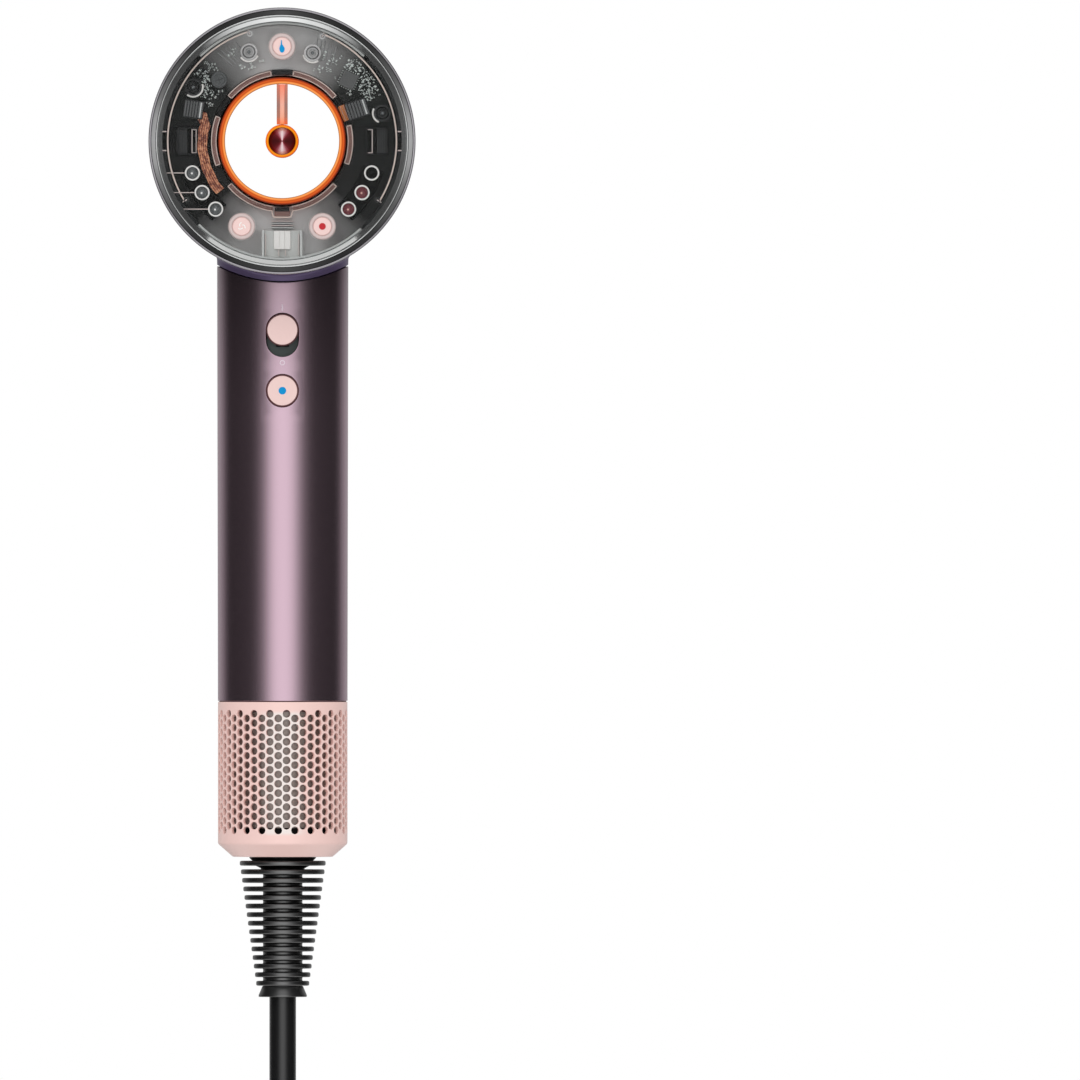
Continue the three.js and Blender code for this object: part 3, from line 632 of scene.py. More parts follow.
def prism(outline, y0, y1, bevel=0.12, steps=2):
    """An outline in X and Z, from y0 to y1, with rounded edges."""
    n = len(outline)
    verts = [(x, y0, z) for x, z in outline] + [(x, y1, z) for x, z in outline]
    faces = [tuple(range(n)), tuple(range(2 * n - 1, n - 1, -1))]
    faces += [(i, (i + 1) % n, n + (i + 1) % n, n + i) for i in range(n)]
    return bevelled(verts, faces, bevel, steps) if bevel else (verts, faces)


def polar(radius, degrees):
    return radius * math.cos(math.radians(degrees)), radius * math.sin(math.radians(degrees))


def band(inner, outer, start, end):
    """Outline of a part of a ring."""
    count = max(2, int(abs(end - start) / 2.5))
    angles = [start + (end - start) * i / count for i in range(count + 1)]
    return [polar(outer, a) for a in angles] + [polar(inner, a) for a in reversed(angles)]


def circle(x, z, radius, count):
    angles = [TAU * i / count for i in range(count)]
    return [(x + radius * math.cos(a), z + radius * math.sin(a)) for a in angles]


def rect(x, z, width, height, turn=0.0, corner=0.0):
    """Outline of a rectangle about x, z, turned by degrees, with round corners."""
    c, s = math.cos(math.radians(turn)), math.sin(math.radians(turn))
    u, v = width / 2, height / 2
    corners = [(-u, -v), (u, -v), (u, v), (-u, v)]
    points = soften(corners, corner, 3) if corner else corners
    return [(x + c * u - s * v, z + s * u + c * v) for u, v in points]


def block(x, z, width, height, y0, y1, bevel, finish, turn=0.0, corner=0.0, steps=2):
    """A box and its finish: its place and size across the head's axis, then its reach along it."""
    return prism(rect(x, z, width, height, turn, corner), y0, y1, bevel, steps), finish


def arc_bar(inner, outer, start, end, y0, y1, bevel, finish):
    """A part of a ring about the head's axis, and its finish."""
    return prism(band(inner, outer, start, end), y0, y1, bevel), finish


def frame_bars(inner, outer, start, end, width, y0, y1, bevel, finish):
    """Four bars that frame a part of a ring."""
    across = math.degrees(width / inner)
    return [arc_bar(*edge, y0, y1, bevel, finish) for edge in (
        (inner, inner + width, start, end), (outer - width, outer, start, end),
        (inner, outer, start, start + across), (inner, outer, end - across, end),
    )]


def between(first, second):
    """Quads between two closed rings of vertex numbers."""
    n = len(first)
    return [(first[k], first[(k + 1) % n], second[(k + 1) % n], second[k]) for k in range(n)]


def lofted(sections, loop=False):
    """A skin through rings of points, all with the same count: a closed loop, or a bar with closed ends."""
    n, count = len(sections[0]), len(sections)
    rings = [range(k * n, (k + 1) * n) for k in range(count)]
    faces = []
    for k in range(count if loop else count - 1):
        faces += between(rings[k], rings[(k + 1) % count])
    if not loop:
        faces += [tuple(rings[0]), tuple(rings[-1])]
    return [point for section in sections for point in section], faces


def bead(path, radius, sides=8):
    """A thin round bar along points in space, with closed ends."""
    sections = []
    for k, point in enumerate(path):
        here = Vector(point)
        along = (Vector(path[min(k + 1, len(path) - 1)]) - Vector(path[max(k - 1, 0)])).normalized()
        side = along.cross(Vector((0, 1, 0)))
        side = (side if side.length > 0.1 else along.cross(Vector((1, 0, 0)))).normalized()
        up = along.cross(side)
        angles = [TAU * i / sides for i in range(sides)]
        sections.append([tuple(here + (side * math.cos(a) + up * math.sin(a)) * radius) for a in angles])
    return lofted(sections)


def mesh_from(bm, name):
    """Ends a mesh in the making, with its faces turned outwards."""
    bmesh.ops.recalc_face_normals(bm, faces=bm.faces)
    mesh = bpy.data.meshes.new(name)
    bm.to_mesh(mesh)
    bm.free()
    return mesh


def build(name, slot, parts, replaces=(), origin=HEAD, body="body", even=True):
    """One object from (shape, finish) pairs in millimetres about origin, riding on a body."""
    finishes = list(dict.fromkeys(finish for _, finish in parts))
    bm = bmesh.new()
    for (verts, faces), finish in parts:
        for face in filled(bm, verts, faces, origin, MM):
            face.material_index = finishes.index(finish)
            face.smooth = True
    mesh = mesh_from(bm, name)
    for finish in finishes:
        mesh.materials.append(M[finish])
    mesh.set_sharp_from_angle(angle=math.radians(SHARP))
    piece = place(bpy.data.objects.new(name, mesh), body, slot, replaces)
    if even:
        applied(piece)
    return piece


def place(piece, body, slot, replaces=()):
    bpy.context.scene.collection.objects.link(piece)
    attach(piece, body)
    if replaces:
        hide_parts(*replaces)
    return piece


def applied(piece, sharp=SHARP):
    """Turns the piece's modifiers into its mesh, then keeps its flat faces evenly shaded."""
    for stage in range(2):
        if stage:
            piece.data.set_sharp_from_angle(angle=math.radians(sharp))
            even = piece.modifiers.new("even", "WEIGHTED_NORMAL")
            even.keep_sharp = True
        bpy.context.view_layer.update()
        graph = bpy.context.evaluated_depsgraph_get()
        mesh = bpy.data.meshes.new_from_object(piece.evaluated_get(graph))
        piece.modifiers.clear()
        old = piece.data
        piece.data = mesh
        bpy.data.meshes.remove(old)
    mesh.name = piece.name


def carve(piece, shapes, origin):
    """Cuts shapes out of a piece."""
    bm = bmesh.new()
    for verts, faces in shapes:
        filled(bm, verts, faces, origin, MM)
    mesh = mesh_from(bm, "tool")
    tool = bpy.data.objects.new("tool", mesh)
    bpy.context.scene.collection.objects.link(tool)
    modifier = piece.modifiers.new("cut", "BOOLEAN")
    modifier.operation = "DIFFERENCE"
    modifier.solver = "EXACT"
    modifier.object = tool
    applied(piece)
    bpy.data.objects.remove(tool)
    bpy.data.meshes.remove(mesh)


# ---------------------------------------------------------------- cord
def flare(t):
    """Sideways move of a strand at height t above the waist: two equal arcs."""
    side = FOLD_R - STRAND / 2
    r = (HANK_FLARE**2 + side**2) / (4 * side)
    if t < HANK_FLARE / 2:
        return r - math.sqrt(r * r - t * t)
    return side - r + math.sqrt(r * r - (HANK_FLARE - t) ** 2)


def smooth_step(t):
    t = min(1.0, max(0.0, t))
    return t * t * (3 - 2 * t)


def strand(side, column, low, high, steps=34):
    """Points of one side of a turn, from z low to high about the hank's middle, as (x, z)."""
    points = []
    for i in range(steps + 1):
        z = low + (high - low) * i / steps
        x = (0.5 + column) * STRAND + flare(max(0.0, abs(z) - HANK_WAIST))
        points.append((side * x, z))
    return points


def fold(top, column, steps=26):
    """Points round a fold, without its ends, as (x, z)."""
    radius = FOLD_R + column * STRAND
    centre, start = (HANK_FOLD_Z, 0) if top else (-HANK_FOLD_Z, math.pi)
    angles = [start + math.pi * i / steps for i in range(1, steps)]
    return [(radius * math.cos(a), centre + radius * math.sin(a)) for a in angles]


def cord_route():
    """Centre line: down to the hank, then turn by turn, moving one place over at the right waist."""
    route = [(0, 0, relief_low.z - s) for s in (0, 6, 14, 22, 30)]
    start_z, drop = route[-1][2], HANK_Z + HANK_WAIST - route[-1][2]
    for i in range(1, 15):
        route.append((-0.5 * STRAND * smooth_step(i / 15), 0, start_z + drop * i / 15))

    def lay(points, y):
        route.extend((x, y, HANK_Z + z) for x, z in points)

    lay(strand(-1, 0, HANK_WAIST, -HANK_FOLD_Z, 20), 0)
    lay(fold(False, 0), 0)
    places = [(0, 0), (0, 1), (1, 1), (1, 2), (0, 2), (0, 3), (1, 3)]
    for (old_column, old_layer), (column, layer) in zip(places, places[1:]):
        right_old = strand(1, old_column, -HANK_FOLD_Z, HANK_FOLD_Z)
        right_new = strand(1, column, -HANK_FOLD_Z, HANK_FOLD_Z)
        for (x0, z), (x1, _) in zip(right_old, right_new):
            t = smooth_step((z + 30) / 60)
            lay([(x0 + (x1 - x0) * t, z)], STRAND * (old_layer + (layer - old_layer) * t))
        y = STRAND * layer
        lay(fold(True, column), y)
        lay(strand(-1, column, HANK_FOLD_Z, -HANK_FOLD_Z), y)
        if (column, layer) != places[-1]:
            lay(fold(False, column), y)
    edge = -(FOLD_R + STRAND)
    for i in range(1, 13):
        x = edge + (PLUG_X - edge) * smooth_step(i / 12)
        route.append((x, PLUG_Y, HANK_Z - HANK_FOLD_Z - 36 * i / 12))
    return [*route, (PLUG_X, PLUG_Y, PLUG_TOP + 4), (PLUG_X, PLUG_Y, PLUG_TOP)]


def supply_cord():
    data = bpy.data.curves.new("supply_cord", "CURVE")
    data.dimensions = "3D"
    data.bevel_depth = CORD_D / 2 * MM
    data.bevel_resolution = 5
    data.use_fill_caps = True
    route = cord_route()
    spline = data.splines.new("POLY")
    spline.points.add(len(route) - 1)
    for point, (x, y, z) in zip(spline.points, route):
        point.co = (x * MM, y * MM, z * MM, 1)
    spline.use_smooth = True
    data.materials.append(M["cord"])
    piece = bpy.data.objects.new("supply_cord", data)
    return place(piece, "body", "black_rubber", ("cord_lead", "cord_hank", "cord_tail"))


def cord_tie():
    """A hook-and-loop strap round the hank, with its free end lying over itself."""
    middle = 1.5 * STRAND
    half = middle + CORD_D / 2 + 0.5
    path = soften([(-half, -half), (half, -half), (half, half), (-half, half)], 6, 8)
    section = soften([(0, -11), (1.1, -11), (1.1, 11), (0, 11)], 0.4, 3)
    rings = []
    for i, (x, y) in enumerate(path):
        along = (Vector(path[(i + 1) % len(path)]) - Vector(path[i - 1])).normalized()
        rings.append([(x + along.y * out, y - along.x * out, z) for out, z in section])
    flap = block(3, 0, 22, 19, -half - 2.1, -half - 1.05, 0.3, "hook", corner=2.5)
    parts = [(lofted(rings, loop=True), "hook"), flap]
    return build("cord_tie", "black_rubber", parts, ["hank_tie"], (0, middle, HANK_Z))


def plug():
    """A moulded plug: a fluted neck that swells to a rounded block."""
    def bulge(value, half, power):
        return half * math.copysign(abs(value) ** (2 / power), value)

    angles = [TAU * i / 72 for i in range(72)]
    sections = [
        [(bulge(math.cos(a), half_w, power), bulge(math.sin(a), half_d, power), z) for a in angles]
        for z, half_w, half_d, power in (
            (0, 5.4, 5.4, 2), (-0.5, 6.0, 6.0, 2), (-5, 7.0, 7.0, 2), (-10, 8.6, 8.4, 2),
            (-14, 11.5, 10.2, 2.3), (-17, 15.0, 12.0, 2.8), (-21, 17.0, 12.8, 3.4), (-26, 17.4, 12.9, 4),
            (-38, 17.6, 12.95, 4.4), (-42.8, 17.6, 12.95, 4.6), (-43.7, 17.2, 12.5, 4.6),
            (-44, 16.5, 11.8, 4.6),
        )
    ]
    parts = [(lofted(sections), "black")]
    for k in range(4):
        r, z = 7.2 + 0.42 * k, -3 - 2 * k
        parts.append((hoop(r - 2, r + 0.55, z - 0.55, z + 0.55, 72, 0.3, "Z"), "black"))
    for side in (-1, 1):
        for z in range(-24, -39, -3):
            parts.append(block(side * 17.45, z, 1.1, 1.3, -6.5, 6.5, 0.3, "black", corner=0.4))
    neck = (PLUG_X, PLUG_Y, PLUG_TOP)
    pieces = [build("plug_moulding", "black_rubber", parts, ["plug_body"], neck)]
    for side in ("left", "right"):
        low, high = extent(f"plug_pin_{side}")
        centre = ((low.x + high.x) / 2, (low.y + high.y) / 2)
        joint = high.z - 10
        metal = [(0, low.z), (1.3, low.z), (2.4, low.z + 1.6), (2.4, joint), (0, joint)]
        sleeve = [(0, joint), (2.05, joint), (2.05, high.z), (0, high.z)]
        parts = [(lathe(metal, 48, 0.5, axis="Z", centre=centre), "zinc"),
                 (lathe(sleeve, 48, 0.1, axis="Z", centre=centre), "black")]
        pieces.append(build(f"pin_{side}", "steel", parts, [f"plug_pin_{side}"], CENTRE))
    return pieces


# ---------------------------------------------------------------- head
def shell_radius(y):
    """Outer radius of the shell's long wall at y."""
    t = (y - REAR_Y) / (CHAMFER_Y - REAR_Y)
    return HEAD_R + (HEAD_FRONT_R - HEAD_R) * t


def head_casting():
    """The shell, with the saddle-shaped collar that the handle meets."""
    shell = lathe([
        (HEAD_R - 1.2, SHELL_REAR_Y, 0.2),
        (HEAD_R, SHELL_REAR_Y, 0.35),
        (HEAD_FRONT_R, CHAMFER_Y, 1.0),
        (FRONT_R, FRONT_Y, 0.5),
        (LIP_R, FRONT_Y, 0.4),
        (LIP_R, FRONT_Y - WALL, 0.3),
        (HEAD_FRONT_R - WALL, CHAMFER_Y - WALL / 2, 1.5),
        (HEAD_R - WALL, SHELL_REAR_Y + 1.5, 0.2),
        (HEAD_R - 1.2, SHELL_REAR_Y + 1.5, 0.2),
    ], 256, steps=5, centre=(0, HEAD_Z))
    spigot = hoop(15, 17.2, HEAD_Z - SEAM_R - 2.6, HEAD_Z - 34, 96, 0, "Z")
    parts = [(shell, "purple"), (collar(), "collar"), (spigot, "dark")]
    build("head_casting", "purple_paint", parts, ["head_shell"], CENTRE)


def collar(segments=192, fillet=1.5, wall=TUBE_TOP_R, inner=17.0):
    """The saddle: a fillet from the shell to the handle's wall, down to the seam."""
    seam = SEAM_R - SEAM_GAP / 2
    sections = []
    for i in range(segments):
        c, s = math.cos(TAU * i / segments), math.sin(TAU * i / segments)

        def surface(rho):
            """Height and slope of the shell's underside, at a distance from the handle's axis."""
            root = math.sqrt(shell_radius(rho * s) ** 2 - (rho * c) ** 2)
            return HEAD_Z - root, rho * c * c / root

        def seam_z(rho):
            return HEAD_Z - math.sqrt(seam**2 - (rho * c) ** 2)

        middle = wall + fillet
        tangent = middle
        for _ in range(8):
            slope = surface(tangent)[1]
            tangent = middle - fillet * slope / math.hypot(1, slope)
        top, slope = surface(tangent)
        run = math.hypot(1, slope)
        start = math.atan2(1 / run, -slope / run)
        arc = [start + (math.pi - start) * k / 10 for k in range(11)]
        foot = seam_z(wall)
        profile = [(tangent, top + 0.9), (tangent, top + 0.03)]
        for a in arc:
            z = top - fillet / run + fillet * math.sin(a)
            profile.append((middle + fillet * math.cos(a), max(z, foot + 0.35)))
        profile += [(wall - 0.05, foot + 0.16), (wall - 0.16, foot + 0.05), (wall - 0.4, foot)]
        profile += [(inner, seam_z(inner)), (inner, surface(inner)[0] + 0.9)]
        sections.append([(rho * c, rho * s, z) for rho, z in profile])
    return lofted(sections, loop=True)


def clear_cover():
    """The clear disc over the controls, with a bevelled edge, and holes for the buttons."""
    inner, outer, back = BORE_R + 2.2, 34.55, REAR_Y + 2.1
    plate = lathe([(inner, back), (inner, REAR_Y, 0.4), (outer, REAR_Y, 0.05), (outer, back, 0.05)], 192)
    parts = [(plate, "glass")]
    cover = build("clear_cover", "clear_plastic", parts, ["rear_cover"], even=False)
    holes = [prism(circle(*polar(BUTTON_RING, angle), BUTTON_R + 0.25, 64), REAR_Y - 1, REAR_Y + 4, 0)
             for _, angle in BUTTONS]
    carve(cover, holes, HEAD)

    # The bevel, rim and seal wear the edge finishes, whose brightness by angle is painted light and shade.
    bevel = lathe([
        (34.6, back, 0.05), (34.6, REAR_Y + 0.05, 0.06), (36.2, REAR_Y + 1.15, 0.06),
        (36.2, REAR_Y + 0.85, 0.05), (36.55, REAR_Y + 0.95, 0.05), (36.55, back, 0.05),
    ], 256, steps=3)
    rim = lathe([
        (37.95, back, 0.05), (37.95, REAR_Y + 0.1, 0.12), (38.42, REAR_Y + 0.17, 0.12),
        (HEAD_R, REAR_Y + 0.6, 0.25), (HEAD_R, back, 0.1),
    ], 256)
    build("cover_edge", "clear_plastic", [(bevel, "glass_edge"), (rim, "rim")])
    seal = lathe([
        (36.6, REAR_Y + 2, 0.05), (36.6, REAR_Y + 0.5, 0.08), (37.9, REAR_Y + 0.75, 0.08),
        (37.9, REAR_Y + 2, 0.05),
    ], 256)
    groove = hoop(35.4, 36.6, -36.3, -35.2, radius=0.2)
    build("cover_seal", "black_rubber", [(seal, "seal"), (groove, "seal")], ["cover_gasket"])


def bore():
    """The bore's liner, which widens a little to the front, and the lit ring round its mouth."""
    front = BORE_R + 0.9
    liner = lathe([
        (BORE_R, -32.8), (BORE_R + 1.2, -32.8), (front + 1.2, 40, 2), (21.2, 55, 2), (21.2, FRONT_Y - 1, 0.5),
        (19.8, FRONT_Y - 0.5, 0.5), (front, FRONT_Y - 10, 6),
    ], 192, 0.2, 6)
    build("bore_tube", "pink_plastic", [(liner, "pink")], ["bore_liner"])
    ring = lathe([
        (BORE_R, -33.1, 0.1), (BORE_R, REAR_Y + 0.5, 0.45), (BORE_R + 1.9, REAR_Y + 0.3, 0.3),
        (BORE_R + 1.9, -33.1, 0.1),
    ], 256, steps=5)
    build("mouth_ring", "glowing_guide", [(ring, "glow")], ["glow_ring"])


def control_moulding():
    """The dark moulding behind the cover: plate, rim, sockets, posts and clips."""
    parts = [(hoop(19.0, 36.3, PANEL_Y, PANEL_Y + 2.5), "panel")]
    rim_y = REAR_Y + 2.35
    for start, end, finish in (
        (46, 134, "pale"), (225, 312, "pale"), (-47.4, 43.6, "dark"), (136.4, 224.6, "dark"),
    ):
        parts.append(arc_bar(33.75, 35.3, start, end, rim_y, PANEL_Y, 0.25, finish))
    for start, end in ((46, 134), (225, 312)):
        parts.append(arc_bar(34.35, 34.5, start, end, rim_y - 0.12, rim_y + 0.2, 0.04, "grey"))
    for side in (-1, 1):
        for z in (-2.75, 2.75):
            parts.append(block(side * 35.0, z, 3.2, 0.32, rim_y - 0.3, rim_y + 0.5, 0.06, "frost"))
        parts.append(block(side * 34.0, 0, 1.3, 4.9, rim_y - 0.15, rim_y + 0.4, 0.1, "pit"))
        parts += socket(side)
    for x, z in SCREWS:
        post = hoop(1.9, 2.5, -33.6, PANEL_Y, 48, 0.2, centre=(x, z))
        parts.append((post, "slate" if abs(x) > 20 else "panel"))
    parts += clip_details()
    build("control_moulding", "dark_plastic", parts, ["control_frame"])


def socket(side):
    """One of the dark wells at the bore's sides, with its walls and light slot."""
    centre = side * 27.2
    shapes = [block(centre + dx, z, width, height, -32.2, PANEL_Y, 0.08, "dark") for dx, z, width, height in (
        (-2.9, 0, 0.35, 7.8), (2.9, 0, 0.35, 7.8), (0, 3.8, 6.1, 0.35), (0, -3.8, 6.1, 0.35),
    )]
    # Painted shade: a near-black block fills the well, for the shade in it.
    shapes.append(block(centre + side * 0.2, 0, 6.6, 8.6, -30.4, PANEL_Y, 0.1, "pit"))
    for k in range(5):
        step_x = centre + side * (0.55 + 0.62 * k)
        shapes.append(block(step_x, 0, 0.56, 6.9, -31.0 - 0.1 * k, -30.2, 0.08, "slate"))
    slot_x = centre - side * 1.75
    slot = [(-0.6, 0, 0.28, 6.9), (0.6, 0, 0.28, 6.9), (0, 3.35, 1.4, 0.26), (0, -3.35, 1.4, 0.26)]
    for dx, z, width, height in slot if side < 0 else slot[1:]:
        shapes.append(block(slot_x + dx, z, width, height, -31.6, -30.2, 0.06, "frost"))
    return shapes


def clip_details():
    """The catch below the bore, the vent lines and the notch above it."""
    rows = []
    for side in (-1, 1):
        rows += [(side * 5.5, -29.5, 0.75, 7.6, -34.6, 0.1, "pale"),
                 (side * 4.85, -30.0, 0.22, 6.4, -34.2, 0.06, "frost"),
                 (side * 1.0, -32.3, 0.22, 1.9, -34.2, 0.05, "frost")]
    rows += [(0, -29.75, 10.4, 7.9, -32.6, 0.2, "pale"), (0, -28.6, 4.9, 5.4, -33.4, 0.3, "white"),
             (0, -28.6, 1.5, 5.4, -33.8, 0.3, "white")]
    for z, finish in ((-23.15, "frost"), (-23.75, "pale"), (-24.4, "frost"), (-25.0, "pale")):
        rows.append((0, z, 6.3, 0.26, -32.4, 0.06, finish))
    rows.append((0, 19.9, 5.9, 1.5, -33.4, 0.15, "dark"))
    return [block(*place_and_size, y, PANEL_Y, bevel, finish) for *place_and_size, y, bevel, finish in rows]


def guide_lines():
    """The cream light guides: two long arcs by the rim, and the outlined clips round the bore."""
    y = REAR_Y + 2.5
    parts = [arc_bar(32.85, 33.3, start, end, y, y + 1.6, 0.12, "cream") for start, end in (
        (-31.8, 68.9), (106.8, 211.6),
    )]
    for angle in (68.9, 106.8, 211.6, -31.8):
        parts.append(block(*polar(33.1, angle), 0.3, 1.7, y + 0.05, y + 1.2, 0.08, "frost", angle - 90))
        parts.append((hoop(0.5, 0.85, y, y + 1, 32, 0, centre=polar(32.4, angle)), "rib"))
    for start, end in ((39.8, 81), (99, 140.2), (159, 200.7), (-19.6, 13.4)):
        parts += frame_bars(*GUIDE_R, start, end, 0.3, GUIDE_Y, GUIDE_BACK_Y, 0.08, "cream")
        parts.append(arc_bar(19.2, 20.3, start + 0.9, end - 0.9, GUIDE_FILL_Y, GUIDE_BACK_Y, 0.1, "rosy"))
    parts += lower_guide()
    build("light_guides", "light_guide", parts)


def lower_guide():
    """The longer clip below the bore, which steps round a tab in its middle."""
    shapes = []
    gap = 8.2
    for start, end in ((219.5, 270 - gap), (270 + gap, 320.7)):
        for r in (18.95, 20.25):
            shapes.append(arc_bar(r, r + 0.3, start, end, GUIDE_Y, GUIDE_BACK_Y, 0.08, "cream"))
        shapes.append(arc_bar(19.2, 20.3, start + 0.9, end, GUIDE_FILL_Y, GUIDE_BACK_Y, 0.1, "rosy"))
    for start in (219.5, 319.8):
        shapes.append(arc_bar(*GUIDE_R, start, start + 0.9, GUIDE_Y, GUIDE_BACK_Y, 0.08, "cream"))
    outline = [(-3.6, -20.0), (-2.9, -20.2), (-2.6, -22.0), (2.6, -22.0), (2.9, -20.2), (3.6, -20.0)]
    shapes.append((bead([(x, -33.0, z) for x, z in soften(outline, 0.8, 5, False)], 0.24), "cream"))
    shapes.append(block(0, -20.7, 4.6, 2.1, -32.9, GUIDE_BACK_Y, 0.15, "rosy", corner=0.5))
    shapes.append(block(0, -19.7, 4.2, 1.2, -33.4, GUIDE_BACK_Y, 0.15, "dark", corner=0.2))
    return shapes


def circuit_board():
    """The board above the bore's middle, with its small parts, traces and painted highlights: white arcs on
    the screw bosses.
    """
    parts = [arc_bar(20.75, 33.6, 11, 169, BOARD_Y, BOARD_Y + 1.5, 0.15, "board")]
    rng = random.Random(11)
    sizes = ((1.1, 0.5), (0.8, 0.42), (0.62, 0.34), (1.4, 0.7))
    for start, end, low, high, count in (
        (25, 50, 23.2, 31.9, 150), (131, 155, 22.8, 31.9, 150),
        (104, 121, 22.6, 30.5, 30), (55, 70, 22.4, 30.5, 26),
    ):
        for _ in range(count):
            angle = rng.uniform(start, end)
            x, z = polar(rng.uniform(low, high), angle)
            if blocked(x, z):
                continue
            length, width = rng.choice(sizes)
            turn = rng.choice((angle, angle + 90, angle + 45))
            top = BOARD_Y - rng.uniform(0.3, 0.7)
            parts.append(block(x, z, length * 0.56, width, top, BOARD_Y, 0.05, "rib", turn, steps=1))
            for side in (-1, 1):
                dx, dz = polar(length * 0.39 * side, turn)
                parts.append(block(x + dx, z + dz, length * 0.24, width, top - 0.03, BOARD_Y, 0.04, "solder",
                                   turn, steps=1))
    for start in (57, 112):
        for k in range(6):
            angle = start + 11 * k / 5
            ends = (polar(26.0, angle), polar(31.6, angle + 3))
            parts.append((bead([(x, BOARD_Y - 0.03, z) for x, z in ends], 0.16, 6), "trace"))
    # Painted highlights: a white arc on one side of each screw boss.
    for (x, z), (start, end) in zip(SCREWS, ((232, 378), (214, 337), (192, 305), (152, 248))):
        highlight_arc = [polar(2.8, start + (end - start) * k / 18) for k in range(19)]
        parts.append((bead([(x + dx, BOARD_Y - 2.2, z + dz) for dx, dz in highlight_arc], 0.27), "white"))
    build("circuit_board", "board_laminate", parts, ["main_board"])


def blocked(x, z):
    """True where a larger part already stands on the board."""
    rooms = [
        ((LEFT_CONNECTOR_X, CONNECTOR_Z), 4.2), ((RIGHT_CONNECTOR_X, CONNECTOR_Z), 4.4),
        (CAN, 3.0), (CHIP, 3.6), ((0, BUTTON_RING), 4.6),
    ]
    rooms += [(screw, 3.4) for screw in SCREWS]
    return any(math.hypot(x - cx, z - cz) < room for (cx, cz), room in rooms)


def board_components():
    """The connectors, capacitor, chip and screws."""
    top = -34.9
    for side, x, width, turn in (("left", LEFT_CONNECTOR_X, 5.7, -8), ("right", RIGHT_CONNECTOR_X, 6.4, 18)):
        shapes = [block(x, CONNECTOR_Z, width, 5.3, top, -31.7, 0.2, "dark", turn, 0.3)]
        ribs = [(width * (-0.42 + 0.14 * k), width * 0.09, 4.6, 0.3, 0.06, "grey") for k in range(7)]
        ribs.append((width * 0.36, 0.5, 4.4, 0.2, 0.1, "pale"))
        for u, thick, height, depth, bevel, finish in ribs:
            dx, dz = polar(u, turn)
            shapes.append(block(x + dx, CONNECTOR_Z + dz, thick, height, top - 0.22, top + depth, bevel,
                                finish, turn))
        build(f"{side}_connector", "dark_plastic", shapes, [f"connector_{side}"])

    can = [(0, -35.5), (1.5, -35.5), (1.7, -35.35), (2.4, -35.5), (2.4, -31.7), (0, -31.7)]
    cross = [block(*CAN, 2.4, 0.14, -35.56, -35.3, 0.03, "dark", turn) for turn in (20, 110)]
    parts = [(lathe(can, 64, 0.25, centre=CAN), "can"), *cross]
    build("can_capacitor", "steel", parts, ["board_capacitor"])

    shapes = [block(*CHIP, 4.6, 4.6, -32.6, -31.75, 0.12, "chip", -25, 0.15)]
    for k in range(6):
        for side in (-1, 1):
            for turn in (-25, 65):
                dx, dz = polar(side * 2.55, turn)
                ex, ez = polar(-1.75 + 0.7 * k, turn + 90)
                x, z = CHIP[0] + dx + ex, CHIP[1] + dz + ez
                shapes.append(block(x, z, 0.4, 0.2, -32.2, -31.75, 0.05, "solder", turn, steps=1))
    build("square_chip", "dark_plastic", shapes, ["board_chip"])

    head = [(0, -32.7), (0.9, -32.7), (1.05, -33.25), (1.5, -33.25), (1.8, -32.7), (1.8, -31.8), (0, -31.8)]
    pip = [(0, -33.0), (0.42, -33.0), (0.55, -32.6), (0, -32.6)]
    for k, centre in enumerate(SCREWS, 1):
        parts = [(lathe(head, 48, 0.12, centre=centre), "boss"), (lathe(pip, 32, 0.1, centre=centre), "lamp")]
        build(f"screw_{k}", "steel", parts, [f"frame_screw_{k}"])


def flex_cable():
    """A film that leaves the left connector, turns down and runs round the bore."""
    y = BOARD_Y - 1.2
    edges = []
    for k in range(8):
        t = k / 7
        middle = 25.3 - 2.6 * smooth_step(t)
        edges.append((middle - 2.1 + 0.5 * t, middle + 1.9 - 0.5 * t, 159.5 + 9 * smooth_step(t)))
    for k in range(1, 27):
        ripple = 0.12 * math.sin(k * 0.9)
        inner, outer = 21.1 + 0.6 * min(1, k / 6) + ripple, 24.2 + 0.3 * min(1, k / 8) + ripple
        edges.append((inner, outer, 168.5 + 50.5 * k / 26))
    sections = []
    for inner, outer, angle in edges:
        (x0, z0), (x1, z1) = polar(inner, angle), polar(outer, angle)
        sections.append([(x0, y, z0), (x1, y, z1), (x1, y + 0.32, z1), (x0, y + 0.32, z0)])
    parts = [(bevelled(*lofted(sections), 0.08), "flex")]
    parts.append(block(17.9, 8.1, 2.0, 4.7, y, y + 0.5, 0.1, "amber", 22, 0.3))
    for x, z in ((17.55, 8.0), (18.45, 8.36)):
        parts.append(block(x, z, 0.22, 4.5, y - 0.12, y + 0.1, 0.05, "salmon", 22))
    build("flex_film", "copper_foil", parts, ["flex_cable"])


def icon_drop(x, z):
    """A slim flame-shaped mark."""
    points = []
    for k in range(24):
        c, s = math.cos(TAU * k / 24), math.sin(TAU * k / 24)
        rise = max(0, s)
        tip = 1.1 if s > 0.9 else 0
        points.append((x + 0.78 * c * (1 - 0.55 * rise) - 0.175 * rise, z - 0.5 + 1.3 * s + tip))
    return points


